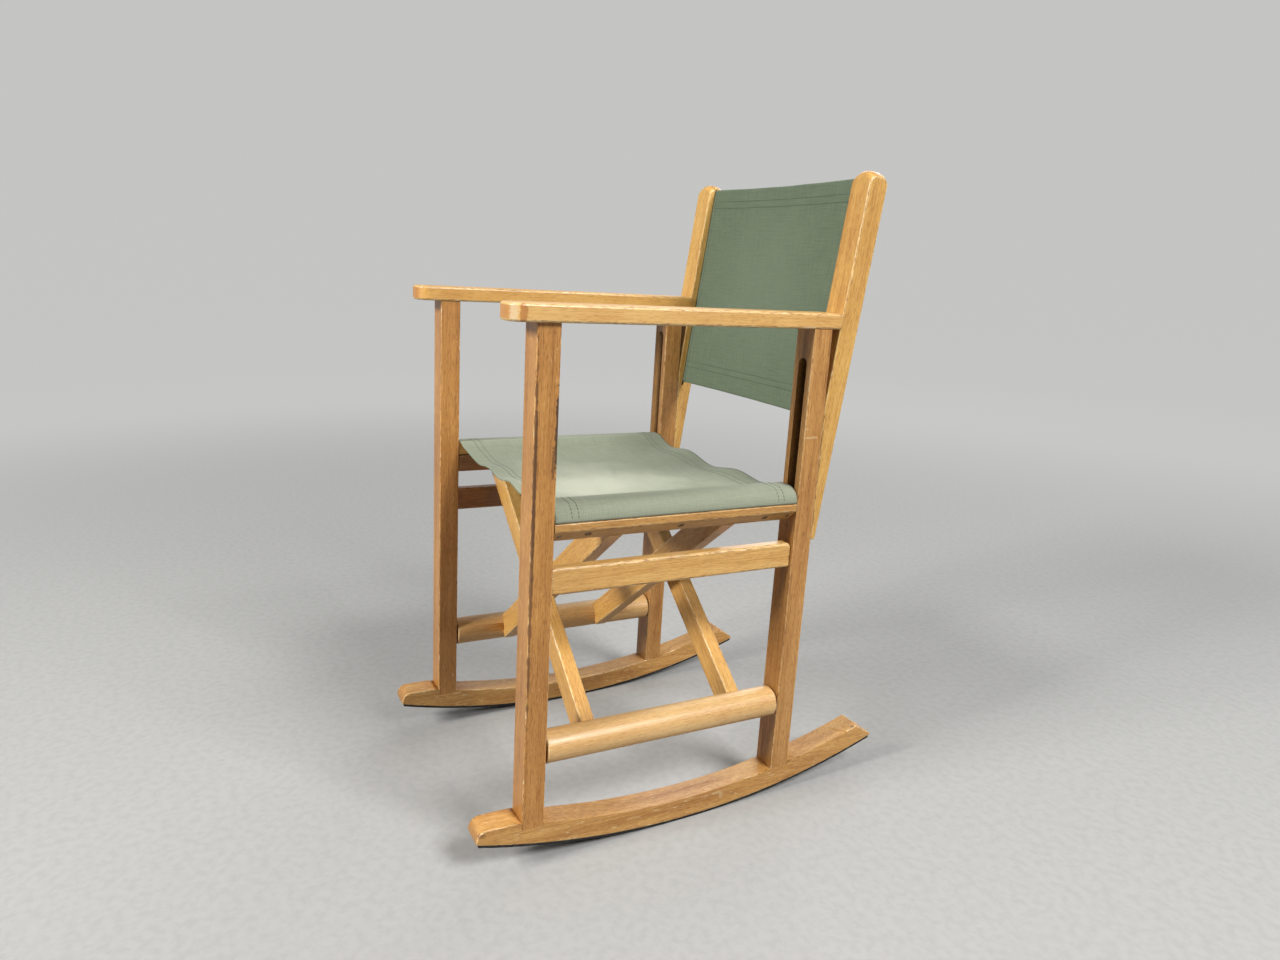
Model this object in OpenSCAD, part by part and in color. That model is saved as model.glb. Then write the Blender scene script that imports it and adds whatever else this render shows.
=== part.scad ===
// Folding rocking chair for a child, with a canvas seat and a canvas back.
// Right is +X, the sitter's left hand. The chair faces -Y and stands on Z = 0.
// Shapes are written in the chair's own upright frame: Y = 0 is the front face of the
// front posts and Z = 0 is the plane that the posts stand on. seated() then tips the
// chair back onto the part of the rockers that it rests on.

/* [Side frames] */
// Width over the outer faces of the two side frames
frame_w = 291; // [270:1:330]
// Thickness of the side frames, across the chair
post_t = 25; // [24:0.5:28]
// Depth of a post, front to back
post_d = 20; // [19:0.5:24]
// Front face of the front post to front face of the rear post
post_pitch = 260; // [240:1:300]
// Height of the posts
post_h = 430.5; // [424:0.5:470]
// Height of the middle of the stretcher between the posts
stretcher_z = 221; // [200:0.25:230]
// Height of the stretcher board
stretcher_h = 23.5; // [18:0.5:30]
// Thickness of the stretcher board
stretcher_t = 12; // [10:0.5:14]
// How far the stretcher stays inside the outer faces of the posts
stretcher_in = 3; // [1:0.5:5]
// Radius of the stretcher's upper rear corner
stretcher_round = 5; // [2:0.5:6]

/* [Rockers] */
// Radius of the underside of the rocker wood
rocker_r = 724; // [700:1:760]
// Depth of the rocker wood
rocker_deep = 20; // [18:0.5:26]
// Lowest point of the rocker wood below the feet of the posts
rocker_drop = 29; // [27:0.5:36]
// Middle of the rocker's curve behind the front face of the front posts
rocker_mid = 148; // [140:1:156]
// Front of the rocker before the front post
rocker_nose = 40; // [34:1:60]
// End of the rocker behind the rear post
rocker_tail = 106; // [90:1:120]
// Height of the flat top of the rocker in front of the post
nose_h = 8; // [6:0.5:9]
// Radius of the rocker's nose
nose_r = 10; // [6:0.5:12]
// Length of the bevel at the rocker's rear end
tail_bevel = 18; // [10:1:24]
// Thickness of the rubber sole
sole_t = 2; // [1.5:0.5:3]
// How far the edges of the sole stay inside the rocker
sole_inset = 0.5; // [0:0.25:2]
// Angle that the chair leans back at rest, in degrees
lean = 2; // [0:0.1:5]

/* [Arms] */
// Thickness of an arm
arm_t = 14; // [12:0.5:18]
// Front of the arm before the front post
arm_nose = 23.5; // [16:0.5:30]
// Radius of the arm's front corners
arm_corner = 12; // [6:0.5:13]
// How far the arm reaches outside the post at its front
arm_out = 5; // [2:0.5:10]
// How far the arm reaches inside the post
arm_in = 2; // [0:0.5:5]

/* [Back] */
// Angle of the back uprights to the posts
upright_angle = 7; // [5:0.5:10]
// Depth of an upright
upright_d = 20; // [18:0.5:24]
// Height at which the upright leaves the post
upright_break = 361.5; // [350:0.5:370]
// Length of the upright above that height
upright_rise = 209.5; // [200:0.5:240]
// Radius of the upright's top corners
upright_corner = 7; // [3:0.5:9]
// Height of the upright's lower end
upright_foot = 235; // [225:1:260]
// Heights of the screws from the upright into the post
upright_screw_low = 298; // [290:1:310]
upright_screw_high = 334; // [325:1:345]
// Height of the canvas back
back_h = 217; // [190:1:218]
// Lower edge of the canvas back below the upright's break, along the upright
back_drop = 13; // [8:0.5:16]
// Middle of the canvas behind the front of the upright
back_set = 8; // [7:0.25:10]
// Diameter of the rod in each side hem of the back
rod_dia = 5; // [4:0.25:5.5]
// How far the rods show below the canvas
rod_show = 2; // [1:0.5:4]
// Middle of the rod inside the upright's inner face
rod_in = 5.5; // [5:0.25:7]

/* [Canvas] */
// Thickness of the canvas
canvas_t = 1.2; // [0.8:0.1:1.4]
// Sag of the seat at its middle
seat_sag = 14; // [6:0.5:20]
// Sag of the seat's front edge
front_sag = 10; // [4:0.5:16]
// Sag of the seat's rear edge
rear_sag = 5; // [2:0.5:12]
// How far the middle of the front and rear edges is drawn in
edge_draw = 4; // [0:0.5:8]
// Height of the folds along the front and rear edges
fold_h = 2; // [0:0.2:4]
// Distance between the folds of the front edge
front_fold_pitch = 62; // [40:1:120]
// Distance between the folds of the rear edge
rear_fold_pitch = 125; // [60:1:160]
// Depth of the hem held under the seat bar
hem_in = 9; // [6:0.5:10]

/* [Seat rails] */
// Height of the guide pins when the chair is open
seat_pin_z = 263.75; // [255:0.25:268]
// Height of a seat rail
seat_rail_h = 17; // [16:0.5:18]
// Top of a seat rail above the middle of its guide pins
seat_rail_up = 7.25; // [7:0.25:8]
// Bevel along the seat rail's lower outer edge
seat_rail_bevel = 10.5; // [8:0.5:10.5]
// Height of the bar that carries the canvas
bar_h = 12.6; // [10:0.2:16]
// How far the bar stays inside the outer face of the side frame
bar_inset = 1.5; // [1.3:0.1:3]
// Radius of the bar's upper outer edge
bar_round = 12; // [6:0.5:12]
// Diameter of the guide pins
guide_dia = 10.5; // [9:0.25:10.5]
// Length of a guide pin
guide_len = 20; // [16:0.5:20]
// How far a guide pin reaches into the groove
guide_out = 8; // [6:0.5:8.5]
// Depth of the grooves in the posts
groove_deep = 9; // [8.5:0.25:10]
// Upper end of the grooves
groove_top = 404; // [402:1:412]
// Number of screws along each seat bar
bar_screws_n = 3; // [2:1:3]
// Distance between the screws
bar_screw_pitch = 88; // [60:1:100]
// Length of a bar screw
bar_screw_len = 24; // [20:0.5:24]
// Nails of the guide pins from the ends of the seat rail
nail_in = 6; // [4:0.5:8]

/* [Lower rails] */
// Height of the lower pivots
low_pivot_z = 68.5; // [64:0.5:72]
// Diameter of a lower rail
low_rail_dia = 29; // [27:0.5:31]
// Space between the lower rails and the posts
low_rail_gap = 1.5; // [0.5:0.25:3]
// Diameter of the round ends
low_end_dia = 12; // [9:0.5:14]
// Length of the round ends
low_end_len = 8.5; // [6:0.5:9]

/* [Cross legs] */
// Width of a leg
leg_w = 25; // [20:0.5:27]
// Thickness of a leg
leg_t = 13.5; // [11:0.5:14]
// Height of a leg's centre line at its lower end, in the side frame's inner face
leg_foot_z = 72; // [70:0.25:74]
// Height of a leg's centre line at its upper end, in the side frame's inner face
leg_head_z = 258.25; // [256:0.25:260]
// End of a leg's foot before the middle of the lower rail
leg_heel = 8; // [6:0.5:12]
// Front face of the outer front leg behind the front face of the front post
leg_b_front_y = 59; // [50:1:62]
// Front face of the inner rear leg behind the same face
leg_a_rear_y = 186.5; // [175:0.5:188]
// Distance between the front pair of legs
leg_gap = 1; // [0.8:0.1:1.4]
// Distance between the rear pair of legs
leg_gap_rear = 12.5; // [6:0.5:13]
// Length of the legs' tenons
tenon_len = 9; // [6:0.5:10]
// Diameter of the pivot bolts
bolt_dia = 5; // [4:0.5:6]
// Diameter of the bolt heads
bolt_head_dia = 10; // [8:0.5:12]
// Thickness of the bolt heads
bolt_head_t = 2.6; // [2:0.2:4]
// Width of the nuts across their corners
nut_dia = 9; // [8:0.5:12]
// Thickness of the nuts
nut_t = 4; // [3:0.5:5]
// Diameter of the washers
washer_dia = 12; // [10:0.5:16]
// Thickness of the washers
washer_t = 0.7; // [0.4:0.1:0.7]

/* [Fixings] */
// Diameter of the dowels that join the posts to the rockers and the arms
dowel_dia = 8; // [6:0.5:9]
// Length of those dowels in the posts
dowel_post = 14; // [10:0.5:18]
// Length of those dowels in the rockers and the arms
dowel_end = 9; // [6:0.5:10]
// Diameter of the stretcher dowels
peg_dia = 6; // [5:0.5:7]
// Length of a stretcher dowel in each piece
peg_len = 9.5; // [7:0.5:11]
// Diameter of the screws
screw_dia = 3.2; // [2.8:0.1:3.6]
// Diameter of the screw heads
screw_head = 6.4; // [5.6:0.2:7]
// Length of the upright screws in the wood that they hold
screw_grip = 9; // [6:0.5:9.5]
// Length of the nails in the seat rails
nail_len = 7; // [6:0.5:8]

/* [Fits] */
// Clearance around a fixed peg, dowel, tenon or screw
fix_gap = 0.1; // [0.05:0.01:0.15]
// Clearance around a pivot
run_gap = 0.08; // [0.03:0.01:0.1]
// Clearance of the guide pins in the grooves
slide_gap = 0.5; // [0.3:0.05:0.8]
// Clearance of a guide pin above the lower end of its groove
stop_gap = 0.1; // [0.05:0.05:0.3]
// Clearance at the ends of the seat rails and of the lower rails' round ends
end_gap = 0.5; // [0.3:0.1:0.8]
// Clearance on each side of a pivot washer
washer_gap = 0.15; // [0.1:0.01:0.2]
// Clearance around the canvas where it passes between wood
canvas_gap = 0.1; // [0.05:0.05:0.2]
// Clearance of the canvas hem in the upright's groove
hem_gap = 0.3; // [0.2:0.05:0.5]

/* [Hidden] */

// Finishes
beech = "#d9a552";
beech_shade = "#c48b49";
beech_rail = "#deb066";
rubber = "#1d1b1a";
steel = "#5b5754";
sage = "#7d8d73";
sage_pale = "#a5af97";

// Smoothness of large curves, of pins and of small round pieces
arc_fn = 240;
wide_fn = 96;
round_fn = 48;
small_fn = 32;

// How far a cut or a union goes past a face
over = 1;

// Side frames
frame_out = frame_w / 2;
frame_in = frame_out - post_t;
frame_mid = frame_out - post_t / 2;
rear_y = post_pitch;
back_y = post_pitch + post_d;
rail_front = post_d + end_gap;
rail_len = post_pitch - post_d - 2 * end_gap;
mid_y = (post_d + post_pitch) / 2;

// Rocker curve
rocker_cz = rocker_r - rocker_drop;
tail_y = back_y + rocker_tail;
sole_r = rocker_r + sole_t;
far_cut = 2 * rocker_r;
tail_over = 24;

// Seat rails and the bars on them
seat_rail_z1 = seat_pin_z + seat_rail_up;
seat_rail_z0 = seat_rail_z1 - seat_rail_h;
bar_z0 = seat_rail_z1 + canvas_t + 2 * canvas_gap;
bar_z1 = bar_z0 + bar_h;
bar_out = frame_out - bar_inset;
bar_corner_x = bar_out - bar_round;
bar_corner_z = bar_z1 - bar_round;
guide_r = guide_dia / 2;
groove_r = guide_r + slide_gap;
groove_z0 = seat_pin_z + slide_gap - stop_gap;
groove_z1 = groove_top - groove_r;

// Lower rails
low_rail_r = low_rail_dia / 2;
low_end_r = low_end_dia / 2;
low_end_gap = end_gap;

// Cross legs: leg A runs up to the right, leg B is its mirror image
pivot_z = (low_pivot_z + seat_pin_z) / 2;
leg_angle = atan2(leg_head_z - leg_foot_z, 2 * frame_in);
leg_below = (low_pivot_z - leg_foot_z) * cos(leg_angle) + (frame_mid - frame_in) * sin(leg_angle);
leg_a_front_y = leg_b_front_y + leg_t + leg_gap;
leg_b_rear_y = leg_a_rear_y + leg_t + leg_gap_rear;
leg_strip = 2 * frame_w;
tenon_side = 3;
tenon_inset = 3;
low_tenon_inset = 6;
bolt_r = bolt_dia / 2;
spacer_r = washer_dia / 2;
bolt_tail = 1.5;
front_nut_y = leg_a_front_y + leg_t + washer_gap + washer_t;
rear_nut_y = leg_a_rear_y - washer_gap - washer_t - nut_t;

// Fixings
dowel_r = dowel_dia / 2;
peg_r = peg_dia / 2;
peg_x = frame_out - stretcher_in - stretcher_t / 2;
screw_r = screw_dia / 2;
screw_head_r = screw_head / 2;
screw_cone = 2.4;
screw_point = 3;
screw_tip_r = 0.4;
nail_r = 1.1;
nail_head_r = 2;
nail_head_t = 0.8;
head_sink = 0.6;
upright_screw_off = 4;
upright_screw_x = frame_mid + upright_screw_off;

// Back canvas and its rods
rod_r = rod_dia / 2;
rod_x = frame_in + rod_in;
hem_r = rod_r + fix_gap + canvas_t;
hem_bore_r = hem_r + hem_gap;
slit_gap = 2 * hem_gap;
slit_w = canvas_t + 2 * slit_gap;
rod_len = back_h - rod_show;

// Seat canvas grid: columns run across the chair, rows from front to back
seat_rows = 13;
seat_cols = 19;
wrap_cols = 10;
front_fold_x = -36;
rear_fold_x = -53;
sag_power = 5;
edge_power = 3;
sheet_in = frame_in - canvas_t;
crease_z = bar_z1 + canvas_gap + canvas_t / 2;
wrap_r = bar_round + canvas_gap + canvas_t / 2;
hem_z = seat_rail_z1 + canvas_gap + canvas_t / 2;
wrap_x = bar_out + canvas_gap + canvas_t / 2;

// Placing: the rocker's centre of curvature stays above the point that touches the floor
contact_y = rocker_mid * cos(lean) + rocker_cz * sin(lean);
centre_z = rocker_cz * cos(lean) - rocker_mid * sin(lean);
seat_rise = sole_r - centre_z;
front_reach = (nose_r - rocker_nose) * cos(lean) + (nose_h - nose_r) * sin(lean) - nose_r;
tail_low_z = rocker_cz - sqrt(sole_r * sole_r - (tail_y - rocker_mid) * (tail_y - rocker_mid));
tail_top_z = tail_low_z + 2 * sole_t;
rear_reach = tail_y * cos(lean) + tail_top_z * sin(lean);
y_shift = -(front_reach + rear_reach) / 2;

// Tips the chair back and sets it on the floor, centred front to back.
module seated() {
    translate([0, y_shift, seat_rise]) rotate([-lean, 0, 0]) children();
}

// Mirrors a right-hand piece to the left.
module on_left() {
    seated() mirror([1, 0, 0]) children();
}

// Raises an outline drawn in Y and Z into a plate that starts at x and is t thick.
module side_plate(x, t) {
    translate([x, 0, 0]) rotate([90, 0, 90]) linear_extrude(height = t) children();
}

// Raises an outline drawn in X and Z into a bar that starts at y and is t long.
module cross_plate(y, t) {
    translate([0, y + t, 0]) rotate([90, 0, 0]) linear_extrude(height = t) children();
}

// Round bar along Y.
module bar_y(x, y, z, r, len) {
    translate([x, y, z]) rotate([-90, 0, 0]) cylinder(r = r, h = len, $fn = round_fn);
}

// Axes of the back uprights: local Y is their depth and local Z runs up them.
module leaned() {
    translate([0, back_y, upright_break]) rotate([-upright_angle, 0, 0]) children();
}

// Disc of the rocker's curve, seen from the side.
module rocker_disc(r) {
    translate([rocker_mid, rocker_cz]) circle(r = r, $fn = arc_fn);
}

// Side outline that bounds the rocker in front, behind and above the nose.
module rocker_bounds() {
    polygon([
        [-rocker_nose, -rocker_r], [-rocker_nose, nose_h - nose_r],
        [nose_r - rocker_nose, nose_h - nose_r], [nose_r - rocker_nose, nose_h],
        [0, nose_h], [0, rocker_r],
        [tail_y - tail_bevel, rocker_r], [tail_y - tail_bevel, tail_over],
        [tail_y, tail_top_z], [tail_y, -rocker_r]
    ]);
    translate([nose_r - rocker_nose, nose_h - nose_r]) circle(r = nose_r, $fn = round_fn);
}

// Upright dowel between a post and what stands on or under it.
module dowel(y, z0, below, above, gap) {
    translate([frame_mid, y, z0 - below - gap])
        cylinder(r = dowel_r + gap, h = below + above + 2 * gap, $fn = round_fn);
}

// The four dowels of one side frame, or their holes.
module frame_dowel_set(gap) {
    for (y = [post_d / 2, rear_y + post_d / 2]) {
        dowel(y, 0, dowel_end, dowel_post, gap);
        dowel(y, post_h, dowel_post, dowel_end, gap);
    }
}

// The two pegs of one stretcher, or their holes.
module peg_set(gap) {
    for (y = [post_d, rear_y])
        bar_y(peg_x, y - peg_len - gap, stretcher_z, peg_r + gap, 2 * (peg_len + gap));
}

// Countersunk screw along local +Z, its head's top at Z = 0, or its hole.
module screw(len, gap) {
    translate([0, 0, -gap]) cylinder(r1 = screw_head_r + gap, r2 = screw_r + gap, h = screw_cone, $fn = small_fn);
    translate([0, 0, screw_cone - 2 * gap])
        cylinder(r = screw_r + gap, h = len - screw_cone - screw_point + 2 * gap, $fn = small_fn);
    translate([0, 0, len - screw_point])
        cylinder(r1 = screw_r + gap, r2 = screw_tip_r + gap, h = screw_point + gap, $fn = small_fn);
}

// Points from the upright's rear face forwards, at height z: the head lies head_sink deep.
module upright_screw_place(z) {
    rear = back_y + (z - upright_break) * tan(upright_angle) + upright_d / cos(upright_angle);
    translate([upright_screw_x, rear - head_sink - screw_head_r * tan(upright_angle), z])
        rotate([90, 0, 0]) children();
}

// Length of the screw that reaches screw_grip into the wood behind a front face at y.
function upright_screw_len(z, y) =
    (z - upright_break) * tan(upright_angle) + upright_d / cos(upright_angle) + back_y
    - head_sink - screw_head_r * tan(upright_angle) - y + screw_grip;

// Front face of the upright at height z.
function upright_front(z) = back_y + max(0, (z - upright_break) * tan(upright_angle));

arm_screw_z = post_h + arm_t / 2;

// The three screws of one upright, or their holes with the recess over each head.
module upright_screw_set(gap, recess) {
    for (z = [upright_screw_low, upright_screw_high, arm_screw_z]) {
        upright_screw_place(z) screw(upright_screw_len(z, upright_front(z)), gap);
        upright_screw_place(z)
            translate([0, 0, -recess]) cylinder(r = screw_head_r + gap, h = recess, $fn = small_fn);
    }
}

// Groove in a post that guides a seat rail's pin, cut from the face at y towards dir.
module guide_groove(y, dir) {
    start = dir > 0 ? y : y - groove_deep;
    for (z = [groove_z0, groove_z1])
        bar_y(frame_mid, start, z, groove_r, groove_deep);
    translate([frame_mid - groove_r, start, groove_z0])
        cube([2 * groove_r, groove_deep, groove_z1 - groove_z0]);
}

// Post from its foot to the arm, with its front face at y. The groove and the
// socket of the lower rail are in the face that looks at the other post.
module post(y, dir) {
    inner = dir > 0 ? y : y + post_d;
    socket = low_end_len + low_end_gap;
    difference() {
        translate([frame_in, y, 0]) cube([post_t, post_d, post_h]);
        guide_groove(inner, dir);
        bar_y(frame_mid, dir > 0 ? inner : inner - socket, low_pivot_z, low_end_r + run_gap, socket);
        frame_dowel_set(fix_gap);
        peg_set(fix_gap);
        upright_screw_set(fix_gap, fix_gap);
    }
}

// Rocker with the seats that the posts stand in.
module rocker() {
    difference() {
        side_plate(frame_in, post_t) intersection() {
            difference() {
                rocker_disc(rocker_r);
                rocker_disc(rocker_r - rocker_deep);
            }
            rocker_bounds();
        }
        for (y = [0, rear_y])
            translate([frame_in - over, y, 0]) cube([post_t + 2 * over, post_d, post_h]);
        frame_dowel_set(fix_gap);
    }
}

// Rubber strip under the rocker.
module sole() {
    side_plate(frame_in + sole_inset, post_t - 2 * sole_inset) intersection() {
        difference() {
            rocker_disc(sole_r);
            rocker_disc(rocker_r);
        }
        translate([-rocker_nose + sole_t, -rocker_r])
            square([tail_y + rocker_nose - 2 * sole_t, rocker_r + tail_y]);
    }
}

// Plan of an arm, as wide at the rear as at the front.
module arm_plan() {
    inner = frame_in - arm_in;
    outer = frame_out + arm_out;
    front = arm_corner - arm_nose;
    translate([inner, front]) square([outer - inner, back_y + post_t - front]);
    translate([inner + arm_corner, -arm_nose]) square([outer - inner - 2 * arm_corner, back_y]);
    for (x = [inner + arm_corner, outer - arm_corner])
        translate([x, front]) circle(r = arm_corner, $fn = round_fn);
}

// Wedge taken off the arm's outer edge, so that it draws in to meet the upright.
module arm_taper() {
    outer = frame_out + arm_out;
    rear = back_y + post_t;
    translate([0, 0, post_h - over]) linear_extrude(height = arm_t + 2 * over)
        polygon([[outer, post_d], [outer + over, post_d], [outer + over, rear], [frame_out, rear]]);
}

// Arm on top of the posts, cut off along the front of the upright.
module arm() {
    difference() {
        translate([0, 0, post_h]) linear_extrude(height = arm_t) arm_plan();
        arm_taper();
        leaned() translate([0, 0, -post_h]) cube([frame_w, post_pitch, far_cut]);
        frame_dowel_set(fix_gap);
        upright_screw_set(fix_gap, fix_gap);
    }
}

// Side outline of the board between the posts.
module stretcher_outline() {
    low = stretcher_z - stretcher_h / 2;
    len = rear_y - post_d;
    translate([post_d, low]) square([len - stretcher_round, stretcher_h]);
    translate([post_d, low]) square([len, stretcher_h - stretcher_round]);
    translate([rear_y - stretcher_round, low + stretcher_h - stretcher_round])
        circle(r = stretcher_round, $fn = round_fn);
}

// Board between the posts.
module stretcher() {
    difference() {
        side_plate(frame_out - stretcher_in - stretcher_t, stretcher_t) stretcher_outline();
        peg_set(fix_gap);
    }
}

// Side outline of the upright in its own axes.
module upright_outline() {
    foot = (upright_break - upright_foot) / cos(upright_angle) + upright_d;
    flat = upright_rise - upright_corner;
    translate([0, -foot]) square([upright_d, foot + flat]);
    translate([upright_corner, 0]) square([upright_d - 2 * upright_corner, upright_rise]);
    for (y = [upright_corner, upright_d - upright_corner])
        translate([y, flat]) circle(r = upright_corner, $fn = round_fn);
}

// Upright of the back: a wedge against the post below, free above, with a groove
// along its inner face for the hem of the canvas.
module back_upright() {
    groove_foot = back_drop + 2 * rod_show;
    groove_len = groove_foot + upright_rise + over;
    difference() {
        leaned() side_plate(frame_in, post_t) upright_outline();
        translate([0, back_y - post_h, 0]) cube([frame_w, post_h, upright_break]);
        translate([0, 0, upright_foot - post_h]) cube([frame_w, 2 * post_h, post_h]);
        leaned() translate([rod_x, back_set, -groove_foot])
            cylinder(r = hem_bore_r, h = groove_len, $fn = round_fn);
        leaned() translate([frame_in - over, back_set - slit_w / 2, -groove_foot])
            cube([rod_in + over, slit_w, groove_len]);
        upright_screw_set(fix_gap, upright_d);
    }
}

// Rod in the hem of the back canvas.
module canvas_rod() {
    leaned() translate([rod_x, back_set, -back_drop - rod_show])
        cylinder(r = rod_r, h = rod_len, $fn = round_fn);
}

// One side hem of the back canvas, around its rod.
module back_hem() {
    difference() {
        cylinder(r = hem_r, h = back_h, $fn = round_fn);
        translate([0, 0, -over]) cylinder(r = hem_r - canvas_t, h = back_h + 2 * over, $fn = round_fn);
    }
}

// Lower rail, a round bar with thinner round ends and the mortises of two legs.
module lower_rail(leg_ys) {
    front = post_d + low_rail_gap;
    difference() {
        union() {
            translate([frame_mid, front, low_pivot_z]) rotate([-90, 0, 0])
                cylinder(r = low_rail_r, h = post_pitch - low_rail_gap - front, $fn = wide_fn);
            bar_y(frame_mid, post_d - low_end_len, low_pivot_z, low_end_r,
                  post_pitch - post_d + 2 * low_end_len);
        }
        for (y = leg_ys) low_tenon(y, fix_gap);
    }
}

// Tenon of a leg in the right-hand lower rail, or its mortise: it points along the leg.
module low_tenon(y, gap) {
    h = leg_w - 2 * low_tenon_inset;
    translate([frame_mid, y + tenon_side - gap, low_pivot_z]) rotate([0, leg_angle, 0])
        translate([-low_rail_r - over, 0, -leg_below - h / 2 - gap])
            cube([tenon_len + over + gap, leg_t - 2 * tenon_side + 2 * gap, h + 2 * gap]);
}

// Tenon of a leg in the right-hand seat rail, or its mortise.
module high_tenon(y, gap) {
    h = seat_rail_h - 2 * tenon_inset;
    translate([frame_in - over, y + tenon_side - gap, seat_rail_z0 + tenon_inset - gap])
        cube([tenon_len + over + gap, leg_t - 2 * tenon_side + 2 * gap, h + 2 * gap]);
}

// Places a screw or nail square to the middle of the seat rail's bevel at y.
module on_bevel(y) {
    half = seat_rail_bevel / 2;
    translate([frame_out - half, y, seat_rail_z0 + half]) rotate([0, -45, 0]) children();
}

bar_screw_ys = [for (i = [0:bar_screws_n - 1]) mid_y + (i - (bar_screws_n - 1) / 2) * bar_screw_pitch];
nail_ys = [rail_front + nail_in, rail_front + rail_len - nail_in];

// The screws that hold a bar on its seat rail, or their holes.
module bar_screw_set(gap) {
    for (y = bar_screw_ys) on_bevel(y) {
        translate([0, 0, head_sink]) screw(bar_screw_len, gap);
    }
}

// The nails over the guide pins, or their holes.
module nail_set(gap) {
    for (y = nail_ys) on_bevel(y) {
        cylinder(r = nail_r + gap, h = nail_len + gap, $fn = small_fn);
        translate([0, 0, -gap]) cylinder(r = nail_head_r + gap, h = nail_head_t + gap, $fn = small_fn);
    }
}

// The guide pins of one seat rail, or their holes.
module guide_pin_set(gap) {
    inside = guide_len - guide_out;
    bar_y(frame_mid, rail_front - guide_out, seat_pin_z, guide_r + gap, guide_len + gap);
    bar_y(frame_mid, rail_front + rail_len - inside - gap, seat_pin_z, guide_r + gap, guide_len + gap);
}

// The guide pins with the holes that their nails make.
module nailed_pins() {
    difference() {
        guide_pin_set(0);
        nail_set(fix_gap);
    }
}

// Seat rail between the grooves, bevelled below.
module seat_rail(leg_ys) {
    difference() {
        cross_plate(rail_front, rail_len) polygon([
            [frame_in, seat_rail_z0], [frame_out - seat_rail_bevel, seat_rail_z0],
            [frame_out, seat_rail_z0 + seat_rail_bevel], [frame_out, seat_rail_z1],
            [frame_in, seat_rail_z1]
        ]);
        for (y = leg_ys) high_tenon(y, fix_gap);
        guide_pin_set(fix_gap);
        bar_screw_set(fix_gap);
        on_bevel_recess();
        nail_set(fix_gap);
    }
}

// Opens the screw holes to the bevel.
module on_bevel_recess() {
    for (y = bar_screw_ys) on_bevel(y)
        translate([0, 0, -over]) cylinder(r = screw_head_r + fix_gap, h = over + head_sink, $fn = small_fn);
}

// Bar inside the hem of the seat, rounded where the canvas turns over it.
module seat_bar() {
    difference() {
        cross_plate(rail_front, rail_len) {
            translate([frame_in, bar_z0]) square([bar_corner_x - frame_in, bar_h]);
            intersection() {
                translate([bar_corner_x, bar_corner_z]) circle(r = bar_round, $fn = wide_fn);
                translate([bar_corner_x, bar_z0]) square([bar_round, bar_h]);
            }
            translate([bar_corner_x, bar_z0]) square([bar_round, max(0, bar_corner_z - bar_z0)]);
        }
        bar_screw_set(fix_gap);
    }
}

// Side outline of leg A: its foot is hollowed for the lower rail and cut square, its
// head stops at the inner face of the seat rail and runs on under that rail.
module leg_outline() {
    difference() {
        translate([-frame_mid, low_pivot_z]) rotate(leg_angle)
            translate([leg_heel, -leg_below - leg_w / 2]) square([leg_strip, leg_w]);
        translate([-frame_mid, low_pivot_z]) circle(r = low_rail_r + fix_gap, $fn = wide_fn);
        translate([frame_in, seat_rail_z0]) square([leg_strip, leg_strip]);
        translate([0, seat_rail_z1]) square([leg_strip, leg_strip]);
    }
}

// Leg A with its tenons and the hole for the pivot bolt.
module leg(y, gap) {
    difference() {
        union() {
            cross_plate(y, leg_t) leg_outline();
            mirror([1, 0, 0]) low_tenon(y, 0);
            high_tenon(y, 0);
        }
        bar_y(0, y - over, pivot_z, bolt_r + gap, leg_t + 2 * over);
    }
}

// Pivot bolt from its head at y0, pointing towards dir, len long under the head.
module pivot_bolt(y0, dir, len) {
    bar_y(0, dir > 0 ? y0 : y0 - len, pivot_z, bolt_r, len);
    bar_y(0, dir > 0 ? y0 - bolt_head_t : y0, pivot_z, bolt_head_dia / 2, bolt_head_t);
}

// Washer from y.
module washer(y) {
    difference() {
        bar_y(0, y, pivot_z, washer_dia / 2, washer_t);
        bar_y(0, y - over, pivot_z, bolt_r + fix_gap, washer_t + 2 * over);
    }
}

// Nut from y.
module nut(y) {
    difference() {
        translate([0, y, pivot_z]) rotate([-90, 0, 0]) cylinder(d = nut_dia, h = nut_t, $fn = 6);
        bar_y(0, y - over, pivot_z, bolt_r + fix_gap, nut_t + 2 * over);
    }
}

// Centre line of the seat canvas in X and Z, from the right-hand hem over both bars to
// the left-hand hem. v runs from 0 at the front edge to 1 at the rear edge.
function edge_share(v) = pow(abs(2 * v - 1), edge_power);
function edge_sag(v) = v < 0.5 ? front_sag : rear_sag;
function sag_at(v) = seat_sag + (edge_sag(v) - seat_sag) * edge_share(v);
function fold_wave(x, v) = v < 0.5
    ? cos(360 * (x - front_fold_x) / front_fold_pitch)
    : cos(360 * (x - rear_fold_x) / rear_fold_pitch);
function fold_at(x, v) = fold_h * edge_share(v) * fold_wave(x, v) * (1 - pow(x / sheet_in, 2));
function sheet_z(x, v) = crease_z - sag_at(v) * (1 - pow(abs(x / sheet_in), sag_power)) + fold_at(x, v);
function sheet_point(i, v) =
    let (x = sheet_in * (1 - 2 * i / (seat_cols - 1))) [x, sheet_z(x, v)];
function wrap_point(i) = [
    bar_corner_x + wrap_r * cos(i * 90 / wrap_cols),
    bar_corner_z + wrap_r * sin(i * 90 / wrap_cols)
];
right_wrap = concat(
    [[bar_out - hem_in, hem_z], [bar_out - hem_in / 3, hem_z], [wrap_x, hem_z]],
    [for (i = [0:wrap_cols]) wrap_point(i)]
);
wrap_n = len(right_wrap);
function canvas_line(v) = concat(
    right_wrap,
    [for (i = [0:seat_cols - 1]) sheet_point(i, v)],
    [for (i = [wrap_n - 1:-1:0]) [-right_wrap[i][0], right_wrap[i][1]]]
);

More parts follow.
